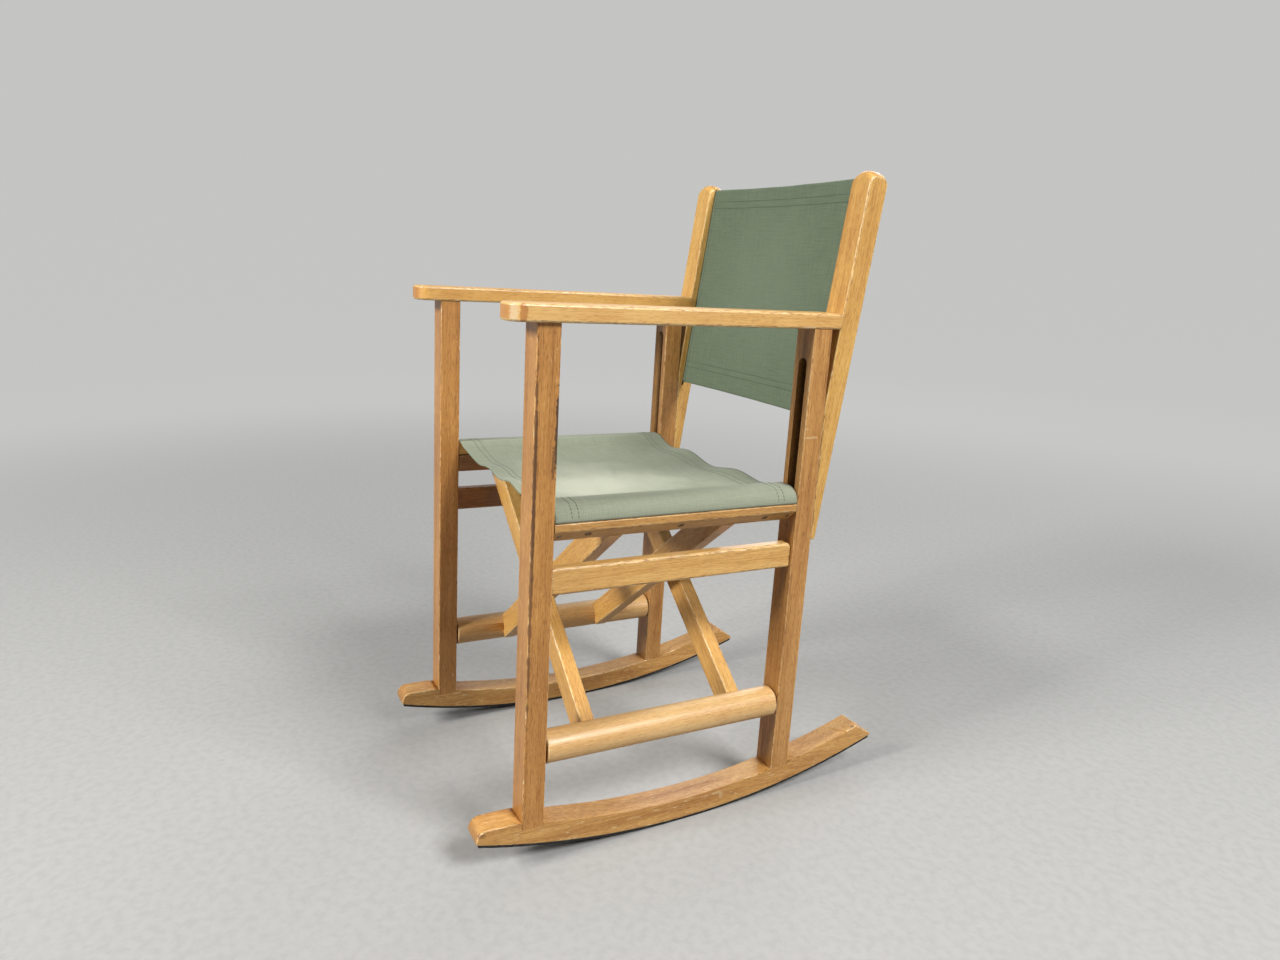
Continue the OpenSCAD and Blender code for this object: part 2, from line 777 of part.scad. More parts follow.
// Direction across the cloth at each column, outwards over the bars and up on the seat.
function across(line, i) =
    let (a = line[max(i - 1, 0)], b = line[min(i + 1, len(line) - 1)], d = b - a)
    [d[1], -d[0]] / norm(d);
function line_side(line, i, off) = line[i] - across(line, i) * off;
line_n = 2 * wrap_n + seat_cols;

// Y of a row: the edges are drawn in between the bars.
function row_y(v, x) =
    rail_front + canvas_gap + v * (rail_len - 2 * canvas_gap)
    + (1 - 2 * v) * edge_draw * max(0, 1 - pow(x / bar_corner_x, 2));

seat_lines = [for (j = [0:seat_rows - 1]) canvas_line(j / (seat_rows - 1))];
seat_points = [for (off = [canvas_t / 2, -canvas_t / 2], j = [0:seat_rows - 1], i = [0:line_n - 1])
    let (p = line_side(seat_lines[j], i, -off))
    [p[0], row_y(j / (seat_rows - 1), seat_lines[j][i][0]), p[1]]];
function seat_id(side, j, i) = (side * seat_rows + j) * line_n + i;
seat_faces = concat(
    [for (j = [0:seat_rows - 2], i = [0:line_n - 2], h = [0, 1]) h == 0
        ? [seat_id(0, j, i), seat_id(0, j, i + 1), seat_id(0, j + 1, i + 1)]
        : [seat_id(0, j, i), seat_id(0, j + 1, i + 1), seat_id(0, j + 1, i)]],
    [for (j = [0:seat_rows - 2], i = [0:line_n - 2], h = [0, 1]) h == 0
        ? [seat_id(1, j, i), seat_id(1, j + 1, i + 1), seat_id(1, j, i + 1)]
        : [seat_id(1, j, i), seat_id(1, j + 1, i), seat_id(1, j + 1, i + 1)]],
    [for (e = [0, 1], i = [0:line_n - 2], h = [0, 1])
        let (j = e * (seat_rows - 1), a = seat_id(0, j, i), b = seat_id(0, j, i + 1),
             c = seat_id(1, j, i), d = seat_id(1, j, i + 1),
             f = h == 0 ? [a, d, b] : [a, c, d])
        e == 0 ? f : [f[2], f[1], f[0]]],
    [for (e = [0, 1], j = [0:seat_rows - 2], h = [0, 1])
        let (i = e * (line_n - 1), a = seat_id(0, j, i), b = seat_id(0, j + 1, i),
             c = seat_id(1, j, i), d = seat_id(1, j + 1, i),
             f = h == 0 ? [a, b, d] : [a, d, c])
        e == 0 ? f : [f[2], f[1], f[0]]]
);

module rocker_left() { color(beech_shade) on_left() rocker(); }
module rocker_right() { color(beech_shade) seated() rocker(); }
module sole_left() { color(rubber) on_left() sole(); }
module sole_right() { color(rubber) seated() sole(); }
module front_post_left() { color(beech_shade) on_left() post(0, -1); }
module front_post_right() { color(beech_shade) seated() post(0, -1); }
module rear_post_left() { color(beech_shade) on_left() post(rear_y, 1); }
module rear_post_right() { color(beech_shade) seated() post(rear_y, 1); }
module arm_left() { color(beech) on_left() arm(); }
module arm_right() { color(beech) seated() arm(); }
module stretcher_left() { color(beech_rail) on_left() stretcher(); }
module stretcher_right() { color(beech_rail) seated() stretcher(); }
module back_upright_left() { color(beech) on_left() back_upright(); }
module back_upright_right() { color(beech) seated() back_upright(); }
module frame_dowels_left() { color(beech_rail) on_left() frame_dowel_set(0); }
module frame_dowels_right() { color(beech_rail) seated() frame_dowel_set(0); }
module stretcher_pegs_left() { color(beech_rail) on_left() peg_set(0); }
module stretcher_pegs_right() { color(beech_rail) seated() peg_set(0); }
module upright_screws_left() { color(steel) on_left() upright_screw_set(0, 0); }
module upright_screws_right() { color(steel) seated() upright_screw_set(0, 0); }
module canvas_rod_left() { color(steel) on_left() canvas_rod(); }
module canvas_rod_right() { color(steel) seated() canvas_rod(); }

module back_canvas() {
    color(sage) seated() leaned() translate([0, back_set, -back_drop]) {
        flat = rod_x - hem_r + canvas_t / 2;
        translate([-flat, -canvas_t / 2, 0]) cube([2 * flat, canvas_t, back_h]);
        for (side = [-1, 1]) translate([side * rod_x, 0, 0]) back_hem();
    }
}

module seat_canvas() {
    color(sage_pale) seated() polyhedron(points = seat_points, faces = seat_faces, convexity = 8);
}

module lower_rail_left() {
    color(beech_rail) on_left() lower_rail([leg_a_front_y, leg_a_rear_y]);
}
module lower_rail_right() {
    color(beech_rail) seated() lower_rail([leg_b_front_y, leg_b_rear_y]);
}
module seat_rail_left() {
    color(beech) on_left() seat_rail([leg_b_front_y, leg_b_rear_y]);
}
module seat_rail_right() {
    color(beech) seated() seat_rail([leg_a_front_y, leg_a_rear_y]);
}
module seat_bar_left() { color(beech_rail) on_left() seat_bar(); }
module seat_bar_right() { color(beech_rail) seated() seat_bar(); }
module bar_screws_left() { color(steel) on_left() bar_screw_set(0); }
module bar_screws_right() { color(steel) seated() bar_screw_set(0); }
module guide_pins_left() { color(beech_rail) on_left() nailed_pins(); }
module guide_pins_right() { color(beech_rail) seated() nailed_pins(); }
module pin_nails_left() { color(steel) on_left() nail_set(0); }
module pin_nails_right() { color(steel) seated() nail_set(0); }
module leg_a_front() { color(beech) seated() leg(leg_a_front_y, run_gap); }
module leg_a_rear() { color(beech) seated() leg(leg_a_rear_y, run_gap); }
module leg_b_front() { color(beech) on_left() leg(leg_b_front_y, fix_gap); }
module leg_b_rear() { color(beech) on_left() leg(leg_b_rear_y, fix_gap); }

module pivot_bolts() {
    color(steel) seated() {
        pivot_bolt(leg_b_front_y, 1, front_nut_y + nut_t + bolt_tail - leg_b_front_y);
        pivot_bolt(leg_b_rear_y + leg_t, -1, leg_b_rear_y + leg_t - rear_nut_y + bolt_tail);
    }
}

module pivot_washers() {
    color(steel) seated() {
        washer(leg_a_front_y - washer_gap - washer_t);
        washer(front_nut_y - washer_t);
        washer(rear_nut_y + nut_t);
    }
}

module pivot_nuts() {
    color(steel) seated() {
        nut(front_nut_y);
        nut(rear_nut_y);
    }
}

module pivot_spacer() {
    start = leg_a_rear_y + leg_t + 2 * washer_gap;
    color(beech_rail) seated() difference() {
        bar_y(0, start, pivot_z, spacer_r, leg_b_rear_y - start);
        bar_y(0, start - over, pivot_z, bolt_r + fix_gap, leg_b_rear_y - start + 2 * over);
    }
}

rocker_left();
rocker_right();
sole_left();
sole_right();
front_post_left();
front_post_right();
rear_post_left();
rear_post_right();
arm_left();
arm_right();
stretcher_left();
stretcher_right();
back_upright_left();
back_upright_right();
frame_dowels_left();
frame_dowels_right();
stretcher_pegs_left();
stretcher_pegs_right();
upright_screws_left();
upright_screws_right();
canvas_rod_left();
canvas_rod_right();
back_canvas();
seat_canvas();
lower_rail_left();
lower_rail_right();
seat_rail_left();
seat_rail_right();
seat_bar_left();
seat_bar_right();
bar_screws_left();
bar_screws_right();
guide_pins_left();
guide_pins_right();
pin_nails_left();
pin_nails_right();
leg_a_front();
leg_a_rear();
leg_b_front();
leg_b_rear();
pivot_bolts();
pivot_washers();
pivot_nuts();
pivot_spacer();
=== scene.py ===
"""Looks of a child's folding rocking chair: varnished beech, cotton canvas, rubber soles.

Sizes are in millimetres in the chair's own upright axes (x across, y front to back,
z up the posts) until Stance sets them back by the chair's lean, in metres.
"""

from __future__ import annotations

import logging
import math
from contextlib import contextmanager
from dataclasses import dataclass, field
from enum import Enum
from typing import Any, Iterator, Optional, Sequence, Union

import bmesh
import bpy
import numpy as np
from mathutils import Matrix, Vector

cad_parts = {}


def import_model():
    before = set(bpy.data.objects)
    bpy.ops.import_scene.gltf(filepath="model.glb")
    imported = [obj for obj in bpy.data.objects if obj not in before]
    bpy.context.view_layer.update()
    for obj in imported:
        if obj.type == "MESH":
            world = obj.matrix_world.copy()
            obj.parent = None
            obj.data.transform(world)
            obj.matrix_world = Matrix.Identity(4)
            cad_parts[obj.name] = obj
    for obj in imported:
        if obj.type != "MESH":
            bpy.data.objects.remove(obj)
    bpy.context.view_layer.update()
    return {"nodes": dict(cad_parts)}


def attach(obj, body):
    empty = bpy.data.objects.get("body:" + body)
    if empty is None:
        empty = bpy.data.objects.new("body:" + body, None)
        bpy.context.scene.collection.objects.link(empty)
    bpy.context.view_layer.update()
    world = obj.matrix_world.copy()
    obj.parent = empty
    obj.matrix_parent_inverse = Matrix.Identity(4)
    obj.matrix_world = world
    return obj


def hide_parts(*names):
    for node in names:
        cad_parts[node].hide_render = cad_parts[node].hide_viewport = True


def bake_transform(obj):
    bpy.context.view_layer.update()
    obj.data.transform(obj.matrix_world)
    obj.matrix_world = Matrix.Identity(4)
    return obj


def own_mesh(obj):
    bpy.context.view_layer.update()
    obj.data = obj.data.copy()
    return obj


LOG = logging.getLogger("rocking_chair")
MM = 0.001
# metres within which a solid's loose corners are one, and a stitch's ends are a point
MERGE = 2e-6
CLOSE = 1e-7
# millimetres within which two planes, or two places along an edge, are the same
TOUCH = 0.05
SLACK = 0.1
# inputs of a Map Range node, in the order in which the tables of ranges give them
RANGE = ("Value", "From Min", "From Max", "To Min", "To Max")

Socket = Union[bpy.types.NodeSocket, bpy.types.Node, float, tuple, str]
Inputs = dict[Union[str, int], Socket]
Nodes = dict[str, bpy.types.Object]


def linear(code: str) -> tuple[float, float, float, float]:
    """Turns an sRGB hex colour into linear RGBA.

    Args:
        code: Six hex digits after a hash sign.

    Returns:
        Red, green and blue from 0 to 1 in linear light, and alpha 1.
    """
    srgb = np.array([int(code[i : i + 2], 16) for i in (1, 3, 5)]) / 255
    low, high = srgb / 12.92, ((srgb + 0.055) / 1.055) ** 2.4
    return (*(float(v) for v in np.where(srgb <= 0.04045, low, high)), 1.0)


def plug(tree: bpy.types.NodeTree, node: bpy.types.Node, inputs: Inputs) -> None:
    """Links a node's inputs or sets their values.

    Args:
        tree: The node tree.
        node: The node.
        inputs: Input name or number to a value, a hex colour, or what is linked to it.
            A node stands for its first output in use.
    """
    for key, value in inputs.items():
        if isinstance(key, int):
            target = node.inputs[key]
        else:
            target = next(s for s in node.inputs if s.enabled and s.name == key)
        if isinstance(value, bpy.types.Node):
            value = next(s for s in value.outputs if s.enabled)
        if isinstance(value, bpy.types.NodeSocket):
            tree.links.new(value, target)
        else:
            target.default_value = linear(value) if isinstance(value, str) else value


def add(
    tree: bpy.types.NodeTree,
    kind: str,
    inputs: Optional[Inputs] = None,
    stops: Sequence[tuple[float, str]] = (),
    **settings: Any,
) -> bpy.types.Node:
    """Adds a shader node with its settings, colour stops, values and links.

    Args:
        tree: The node tree.
        kind: The node's type name without its first word, ShaderNode.
        inputs: What plug() gives to its inputs.
        stops: Position and hex colour of each stop of a colour ramp.
        **settings: Attributes of the node, set before its inputs are looked up.

    Returns:
        The new node.
    """
    node = tree.nodes.new("ShaderNode" + kind)
    for name, value in settings.items():
        setattr(node, name, value)
    for place, (position, colour) in enumerate(stops):
        ramp = node.color_ramp.elements
        stop = ramp[place] if place < len(ramp) else ramp.new(position)
        stop.position, stop.color = position, linear(colour)
    plug(tree, node, inputs or {})
    return node


@contextmanager
def opened(mesh: bpy.types.Mesh) -> Iterator[bmesh.types.BMesh]:
    """Opens a mesh for work on its edges and faces, and writes it back after that.

    Args:
        mesh: The mesh.

    Yields:
        Its open form.
    """
    work = bmesh.new()
    work.from_mesh(mesh)
    yield work
    work.to_mesh(mesh)
    work.free()


def read(items: Any, name: str, width: int = 1, kind: type = float) -> np.ndarray:
    """Reads one attribute of all vertices, edges, faces or corners of a mesh.

    Args:
        items: The mesh's collection.
        name: The attribute.
        width: How many numbers each item has there.
        kind: Their type.

    Returns:
        A row for each item, or a plain list of numbers where the width is 1.
    """
    values = np.empty(len(items) * width, kind)
    items.foreach_get(name, values)
    return values.reshape(-1, width) if width > 1 else values


def put(name: str, data: Any) -> bpy.types.Object:
    """Makes an object of this mesh, lamp or camera and links it to the scene.

    Args:
        name: The object's name.
        data: What it shows.

    Returns:
        The new object.
    """
    made = bpy.data.objects.new(name, data)
    bpy.context.collection.objects.link(made)
    return made


def near(values: np.ndarray, *levels: float) -> np.ndarray:
    """Which values are one of these levels."""
    return np.isclose(values[:, None], [levels], atol=TOUCH).any(1)


def smooth_step(value: np.ndarray, low: float, high: float) -> np.ndarray:
    """Rises from 0 at low to 1 at high along 3t^2 - 2t^3."""
    t = np.clip((value - low) / (high - low), 0, 1)
    return t * t * (3 - 2 * t)


def travelled(steps: np.ndarray) -> np.ndarray:
    """Length along a line from its start to each of its points, given its steps' lengths."""
    return np.concatenate([[0], np.cumsum(steps)])


@dataclass(frozen=True)
class Stance:
    """How the upright chair is set back on the part of its rockers that it rests on."""

    lean_deg: float = 2.0
    shift_y: float = -173.0856
    rise: float = 36.5885

    def matrix(self) -> np.ndarray:
        """Rotation about X by the lean, top to the rear."""
        c, s = math.cos(math.radians(self.lean_deg)), math.sin(math.radians(self.lean_deg))
        return np.array([[1, 0, 0], [0, c, s], [0, -s, c]])

    def place(self, points: np.ndarray) -> np.ndarray:
        """Upright millimetres to metres on the floor: turned by the lean, then moved."""
        return (points @ self.matrix().T + [0, self.shift_y, self.rise]) * MM

    def upright(self, points: np.ndarray) -> np.ndarray:
        """The inverse of place(): metres on the floor to upright millimetres."""
        return (points / MM - [0, self.shift_y, self.rise]) @ self.matrix()

    def turn(self, way: Sequence[float]) -> Vector:
        """A direction in the upright axes, set back by the lean."""
        return Vector(self.matrix() @ np.array(way, float))


STANCE = Stance()


@dataclass(frozen=True)
class Frame:
    """Sizes that several pieces share, as in the solid model."""

    outer: float = 145.5
    inner: float = 120.5
    middle: float = 133.0
    post_depth: float = 20.0
    rear_y: float = 260.0
    back_y: float = 280.0
    arm_z: float = 430.5
    arm_t: float = 14.0
    rail_front: float = 20.5
    rail_len: float = 239.0
    rail_z: float = 68.5
    cross_z: float = 166.1
    leg_low: float = 72.0
    leg_high: float = 258.25
    break_z: float = 361.5
    back_deg: float = 7.0

    def leaned(self, points: np.ndarray) -> np.ndarray:
        """Sets points back with the uprights: turned about X by the back's angle and
        moved to where the upright leaves the post.

        Args:
            points: Across, depth and height in the uprights' own axes.

        Returns:
            The points in the chair's upright axes.
        """
        c, s = math.cos(math.radians(self.back_deg)), math.sin(math.radians(self.back_deg))
        turned = points @ np.array([[1, 0, 0], [0, c, -s], [0, s, c]])
        return turned + [0, self.back_y, self.break_z]

    def depth(self, points: np.ndarray) -> np.ndarray:
        """Depth of points behind the plane of the uprights' front faces."""
        c, s = math.cos(math.radians(self.back_deg)), math.sin(math.radians(self.back_deg))
        return (points[..., 1] - self.back_y) * c - (points[..., 2] - self.break_z) * s

    def from_pivot(self, points: np.ndarray) -> np.ndarray:
        """Distance of points from the axis of the lower rail on their side."""
        return np.hypot(np.abs(points[:, 0]) - self.middle, points[:, 2] - self.rail_z)


FRAME = Frame()
BACK = math.radians(FRAME.back_deg)
LEG = math.atan2(FRAME.leg_high - FRAME.leg_low, 2 * FRAME.inner)


class Grain(Enum):
    """Direction of a piece's length, and so of its grain, in the upright axes."""

    UPRIGHT = (0.0, 0.0, 1.0)
    LEVEL = (0.0, 1.0, 0.0)
    BACK = (0.0, math.sin(BACK), math.cos(BACK))
    LEG_A = (math.cos(LEG), 0.0, math.sin(LEG))
    LEG_B = (-math.cos(LEG), 0.0, math.sin(LEG))


class Tone(Enum):
    """Pale, middle and deep colour of a board of beech under its varnish. The two shade tones are
    darkened to paint the shade under the seat.
    """

    HONEY = ("#E2B76E", "#D5A458", "#BA8640")
    AMBER = ("#D09A56", "#BF8845", "#9B662C")
    BROWN = ("#CD9C5E", "#BC8848", "#9A6730")
    LIGHT = ("#E7BF7C", "#DBAD66", "#C28F4B")
    CREAM = ("#EBC88E", "#DDB478", "#C8995A")
    WHEAT = ("#DEB06C", "#CD9B55", "#AA7237")
    STRAW = ("#E2BA70", "#D6A759", "#B98741")
    TAN = ("#D2A565", "#C49452", "#A27236")
    # painted shade: tone of the far board, darkened for the shade that falls on it under the seat
    CHESTNUT_SHADE = ("#B98550", "#A26C3A", "#804F27")
    # painted shade: tone of the far seat rail, darkened for the shade under the seat cloth
    UMBER_SHADE = ("#A87A4A", "#936334", "#744722")


@dataclass(frozen=True)
class Mark:
    """A soft-edged spot on a piece: a scuff, a split, a chip or the dirt in a groove.

    A soft-edged spot on a piece: a scuff, a split, a chip, or painted shade with some grime in a
    groove.
    """

    centre: tuple[float, float, float]
    half: tuple[float, float, float]
    colour: str
    strength: float = 1.0
    ragged: float = 0.6
    grit: float = 0.4

    def mask(self, tree: bpy.types.NodeTree, coords: bpy.types.NodeSocket) -> bpy.types.Node:
        """Adds the mark's mask: its strength inside, 0 outside, ragged between.

        Args:
            tree: The material's tree.
            coords: Its Object coordinates.

        Returns:
            The node whose output is the mask.
        """
        placed: Inputs = {
            "Vector": coords,
            "Location": tuple(STANCE.place(np.array(self.centre))),
            "Rotation": (-math.radians(STANCE.lean_deg), 0, 0),
            "Scale": tuple(h * MM for h in self.half),
        }
        local = add(tree, "Mapping", placed, vector_type="TEXTURE")
        noise = add(tree, "TexNoise", {"Vector": coords, "Scale": self.grit / MM, "Detail": 3.0})
        reach = add(tree, "VectorMath", {0: local}, operation="LENGTH").outputs["Value"]
        edge = {0: noise, 1: self.ragged * 2, 2: reach}
        rough = add(tree, "Math", edge, operation="MULTIPLY_ADD")
        fall = (rough, 0.8 + self.ragged, 1.1 + self.ragged, self.strength, 0.0)
        return add(tree, "MapRange", dict(zip(RANGE, fall)))


class Finish:
    """What all finishes share: the material is built once and found again by its name."""

    name: str

    def paint(self, tree: bpy.types.NodeTree) -> Inputs:
        """Adds the finish's nodes.

        Args:
            tree: The material's tree.

        Returns:
            The shader's inputs by name, with what goes into each.
        """
        raise NotImplementedError

    def material(self) -> bpy.types.Material:
        """Finds the finish's material by its name, or builds it.

        Returns:
            The material.
        """
        known = bpy.data.materials.get(self.name)
        if known:
            return known
        made = bpy.data.materials.new(self.name)
        made.use_nodes = True
        tree = made.node_tree
        plug(tree, tree.nodes["Principled BSDF"], self.paint(tree))
        return made


@dataclass(frozen=True)
class VarnishedBeech(Finish):
    """Steamed beech, planed and given a honey-coloured varnish that has yellowed.

    To the eye: straight fine grain with short dark flecks, a satin gloss, darker end
    grain that soaked up the varnish, and paler bare wood where the arrises are worn.
    """

    name: str
    grain: Grain
    colours: tuple[str, str, str] = Tone.HONEY.value
    end: str = "#A06A2C"
    bare: str = "#E6C48A"
    worn: float = 0.12
    pores: float = 0.45
    seed: float = 0.0
    marks: tuple[Mark, ...] = ()

    def paint(self, tree: bpy.types.NodeTree) -> Inputs:
        """Adds the nodes of the wood, its varnish and its wear.

        Args:
            tree: The material's tree.

        Returns:
            The shader's inputs by name, with what goes into each.
        """
        coords = add(tree, "TexCoord")
        here = coords.outputs["Object"]
        along = STANCE.turn(self.grain.value)
        # millimetres, with X along the grain
        turned: Inputs = {
            "Vector": here,
            "Location": (self.seed * 71, self.seed * 37, self.seed * 53),
            "Rotation": tuple(along.rotation_difference(Vector((1, 0, 0))).to_euler()),
            "Scale": (1 / MM,) * 3,
        }
        wood = add(tree, "Mapping", turned)
        noises = []
        # each row: millimetres along and across the grain, then the noise's settings
        for length, width, detail, roughness, bend in (
            # fibres
            (30.0, 1.0, 4.0, 0.6, 0.15),
            # growth bands
            (300.0, 9.0, 3.0, 0.5, 0.4),
            # dark pores in dashes: real ones are finer
            (6.0, 0.7, 1.0, 0.5, 0.0),
            # dry scuffs along the grain that show bare wood
            (12.0, 2.2, 5.0, 0.7, 0.0),
        ):
            stretch = {0: wood, 1: (1 / length, 1 / width, 1 / width)}
            pattern: Inputs = {
                "Vector": add(tree, "VectorMath", stretch, operation="MULTIPLY"),
                "Scale": 1.0,
                "Detail": detail,
                "Roughness": roughness,
                "Distortion": bend,
            }
            noises.append(add(tree, "TexNoise", pattern))
        fibres, bands, flecks, scuffs = noises
        # unevenly yellowed varnish, patches of 80 mm broken up into ones of 5 mm
        blotches: Inputs = {"Vector": here, "Scale": 12.0, "Detail": 4.0, "Roughness": 0.65}
        patches = add(tree, "TexNoise", blotches)
        share = add(tree, "Math", {0: bands, 1: 0.45}, operation="MULTIPLY")
        grown = add(tree, "Math", {0: fibres, 1: 0.55, 2: share}, operation="MULTIPLY_ADD")
        # end grain is where the surface faces along the grain
        ways = {0: coords.outputs["Normal"], 1: tuple(along)}
        facing = add(tree, "VectorMath", ways, operation="DOT_PRODUCT").outputs["Value"]
        across = add(tree, "Math", {0: facing}, operation="ABSOLUTE")
        dots, yellowed, ending, pale_patch, gloss = (
            add(tree, "MapRange", dict(zip(RANGE, row)))
            for row in (
                (flecks, 0.52, 0.68, 0.0, self.pores),
                (patches, 0.35, 0.7, 0.0, 0.3),
                (across, 0.6, 0.95, 0.0, 0.65),
                (scuffs, 0.72 - self.worn, 0.80 - self.worn * 0.8, 0.0, 0.75),
                (grown, 0.3, 0.7, 0.5, 0.36),
            )
        )
        pale, middle, deep = self.colours
        tones = ((0.33, deep), (0.5, middle), (0.67, pale))
        colour = add(tree, "ValToRGB", {"Fac": grown}, stops=tones)
        for mask, over, blend in (
            (dots, "#A8835E", "MULTIPLY"),
            (yellowed, deep, "MULTIPLY"),
            (ending, self.end, "MIX"),
            (pale_patch, self.bare, "MIX"),
            *((mark.mask(tree, here), mark.colour, "MIX") for mark in self.marks),
        ):
            layer = {"Factor": mask, "A": colour, "B": over}
            colour = add(tree, "Mix", layer, data_type="RGBA", blend_type=blend)
        height = add(tree, "Math", {0: fibres, 1: flecks}, operation="SUBTRACT")
        relief = {"Strength": 0.35, "Distance": 0.12 * MM, "Height": height}
        return {
            "Base Color": colour,
            "Roughness": add(tree, "Math", {0: pale_patch, 1: 0.3, 2: gloss}, operation="MULTIPLY_ADD"),
            "Normal": add(tree, "Bump", relief),
            "IOR": 1.5,
            "Coat Weight": 0.2,
            "Coat Roughness": 0.28,
        }

    def arris(self) -> bpy.types.Material:
        """The same wood where an edge is worn: paler and drier, with dirt in its chips.

        Returns:
            The material.
        """
        pale, middle, _ = self.colours
        return VarnishedBeech(
            name=self.name + "_worn_arris",
            grain=self.grain,
            colours=(self.bare, pale, "#7E5428"),
            end=middle,
            bare="#EEDDB8",
            worn=0.16,
            pores=0.9,
            seed=self.seed,
            marks=self.marks,
        ).material()


@dataclass(frozen=True)
class PlainMetal(Finish):
    """Zinc-plated steel that has gone dull: grey with a brownish cast and fine pitting."""

    name: str = "dull_zinc_plated_steel"
    light: str = "#8E8980"
    dark: str = "#4A4038"
    roughness: float = 0.42

    def paint(self, tree: bpy.types.NodeTree) -> Inputs:
        """Adds the nodes of the plating and its tarnish.

        Args:
            tree: The material's tree.

        Returns:
            The shader's inputs by name, with what goes into each.
        """
        here = add(tree, "TexCoord").outputs["Object"]
        # tarnish in spots of about 1.5 mm
        spots = add(tree, "TexNoise", {"Vector": here, "Scale": 0.66 / MM, "Detail": 4.0})
        dulled = (spots, 0.0, 1.0, self.roughness + 0.2, self.roughness - 0.1)
        tones = ((0.38, self.dark), (0.62, self.light))
        return {
            "Base Color": add(tree, "ValToRGB", {"Fac": spots}, stops=tones),
            "Roughness": add(tree, "MapRange", dict(zip(RANGE, dulled))),
            "Normal": add(tree, "Bump", {"Strength": 0.3, "Distance": 0.05 * MM, "Height": spots}),
            "Metallic": 1.0,
        }


@dataclass(frozen=True)
class SoleRubber(Finish):
    """Black ribbed rubber strip, matt, greyed by dust from the floor."""

    name: str = "matt_black_rubber"
    black: str = "#1C1B1A"
    dust: str = "#5A5650"

    def paint(self, tree: bpy.types.NodeTree) -> Inputs:
        """Adds the nodes of the rubber and its dust.

        Args:
            tree: The material's tree.

        Returns:
            The shader's inputs by name, with what goes into each.
        """
        here = add(tree, "TexCoord").outputs["Object"]
        # dust in blotches of 8 mm, on a pebbled skin with grains of 0.8 mm
        dusty: Inputs = {"Vector": here, "Scale": 0.12 / MM, "Detail": 5.0, "Roughness": 0.7}
        grime = add(tree, "TexNoise", dusty)
        skin = add(tree, "TexNoise", {"Vector": here, "Scale": 1.25 / MM, "Detail": 2.0})
        share = add(tree, "MapRange", dict(zip(RANGE, (grime, 0.5, 0.75, 0.0, 0.6))))
        greyed = {"Factor": share, "A": self.black, "B": self.dust}
        return {
            "Base Color": add(tree, "Mix", greyed, data_type="RGBA"),
            "Normal": add(tree, "Bump", {"Strength": 0.5, "Distance": 0.1 * MM, "Height": skin}),
            "Roughness": 0.85,
            "IOR": 1.5,
        }


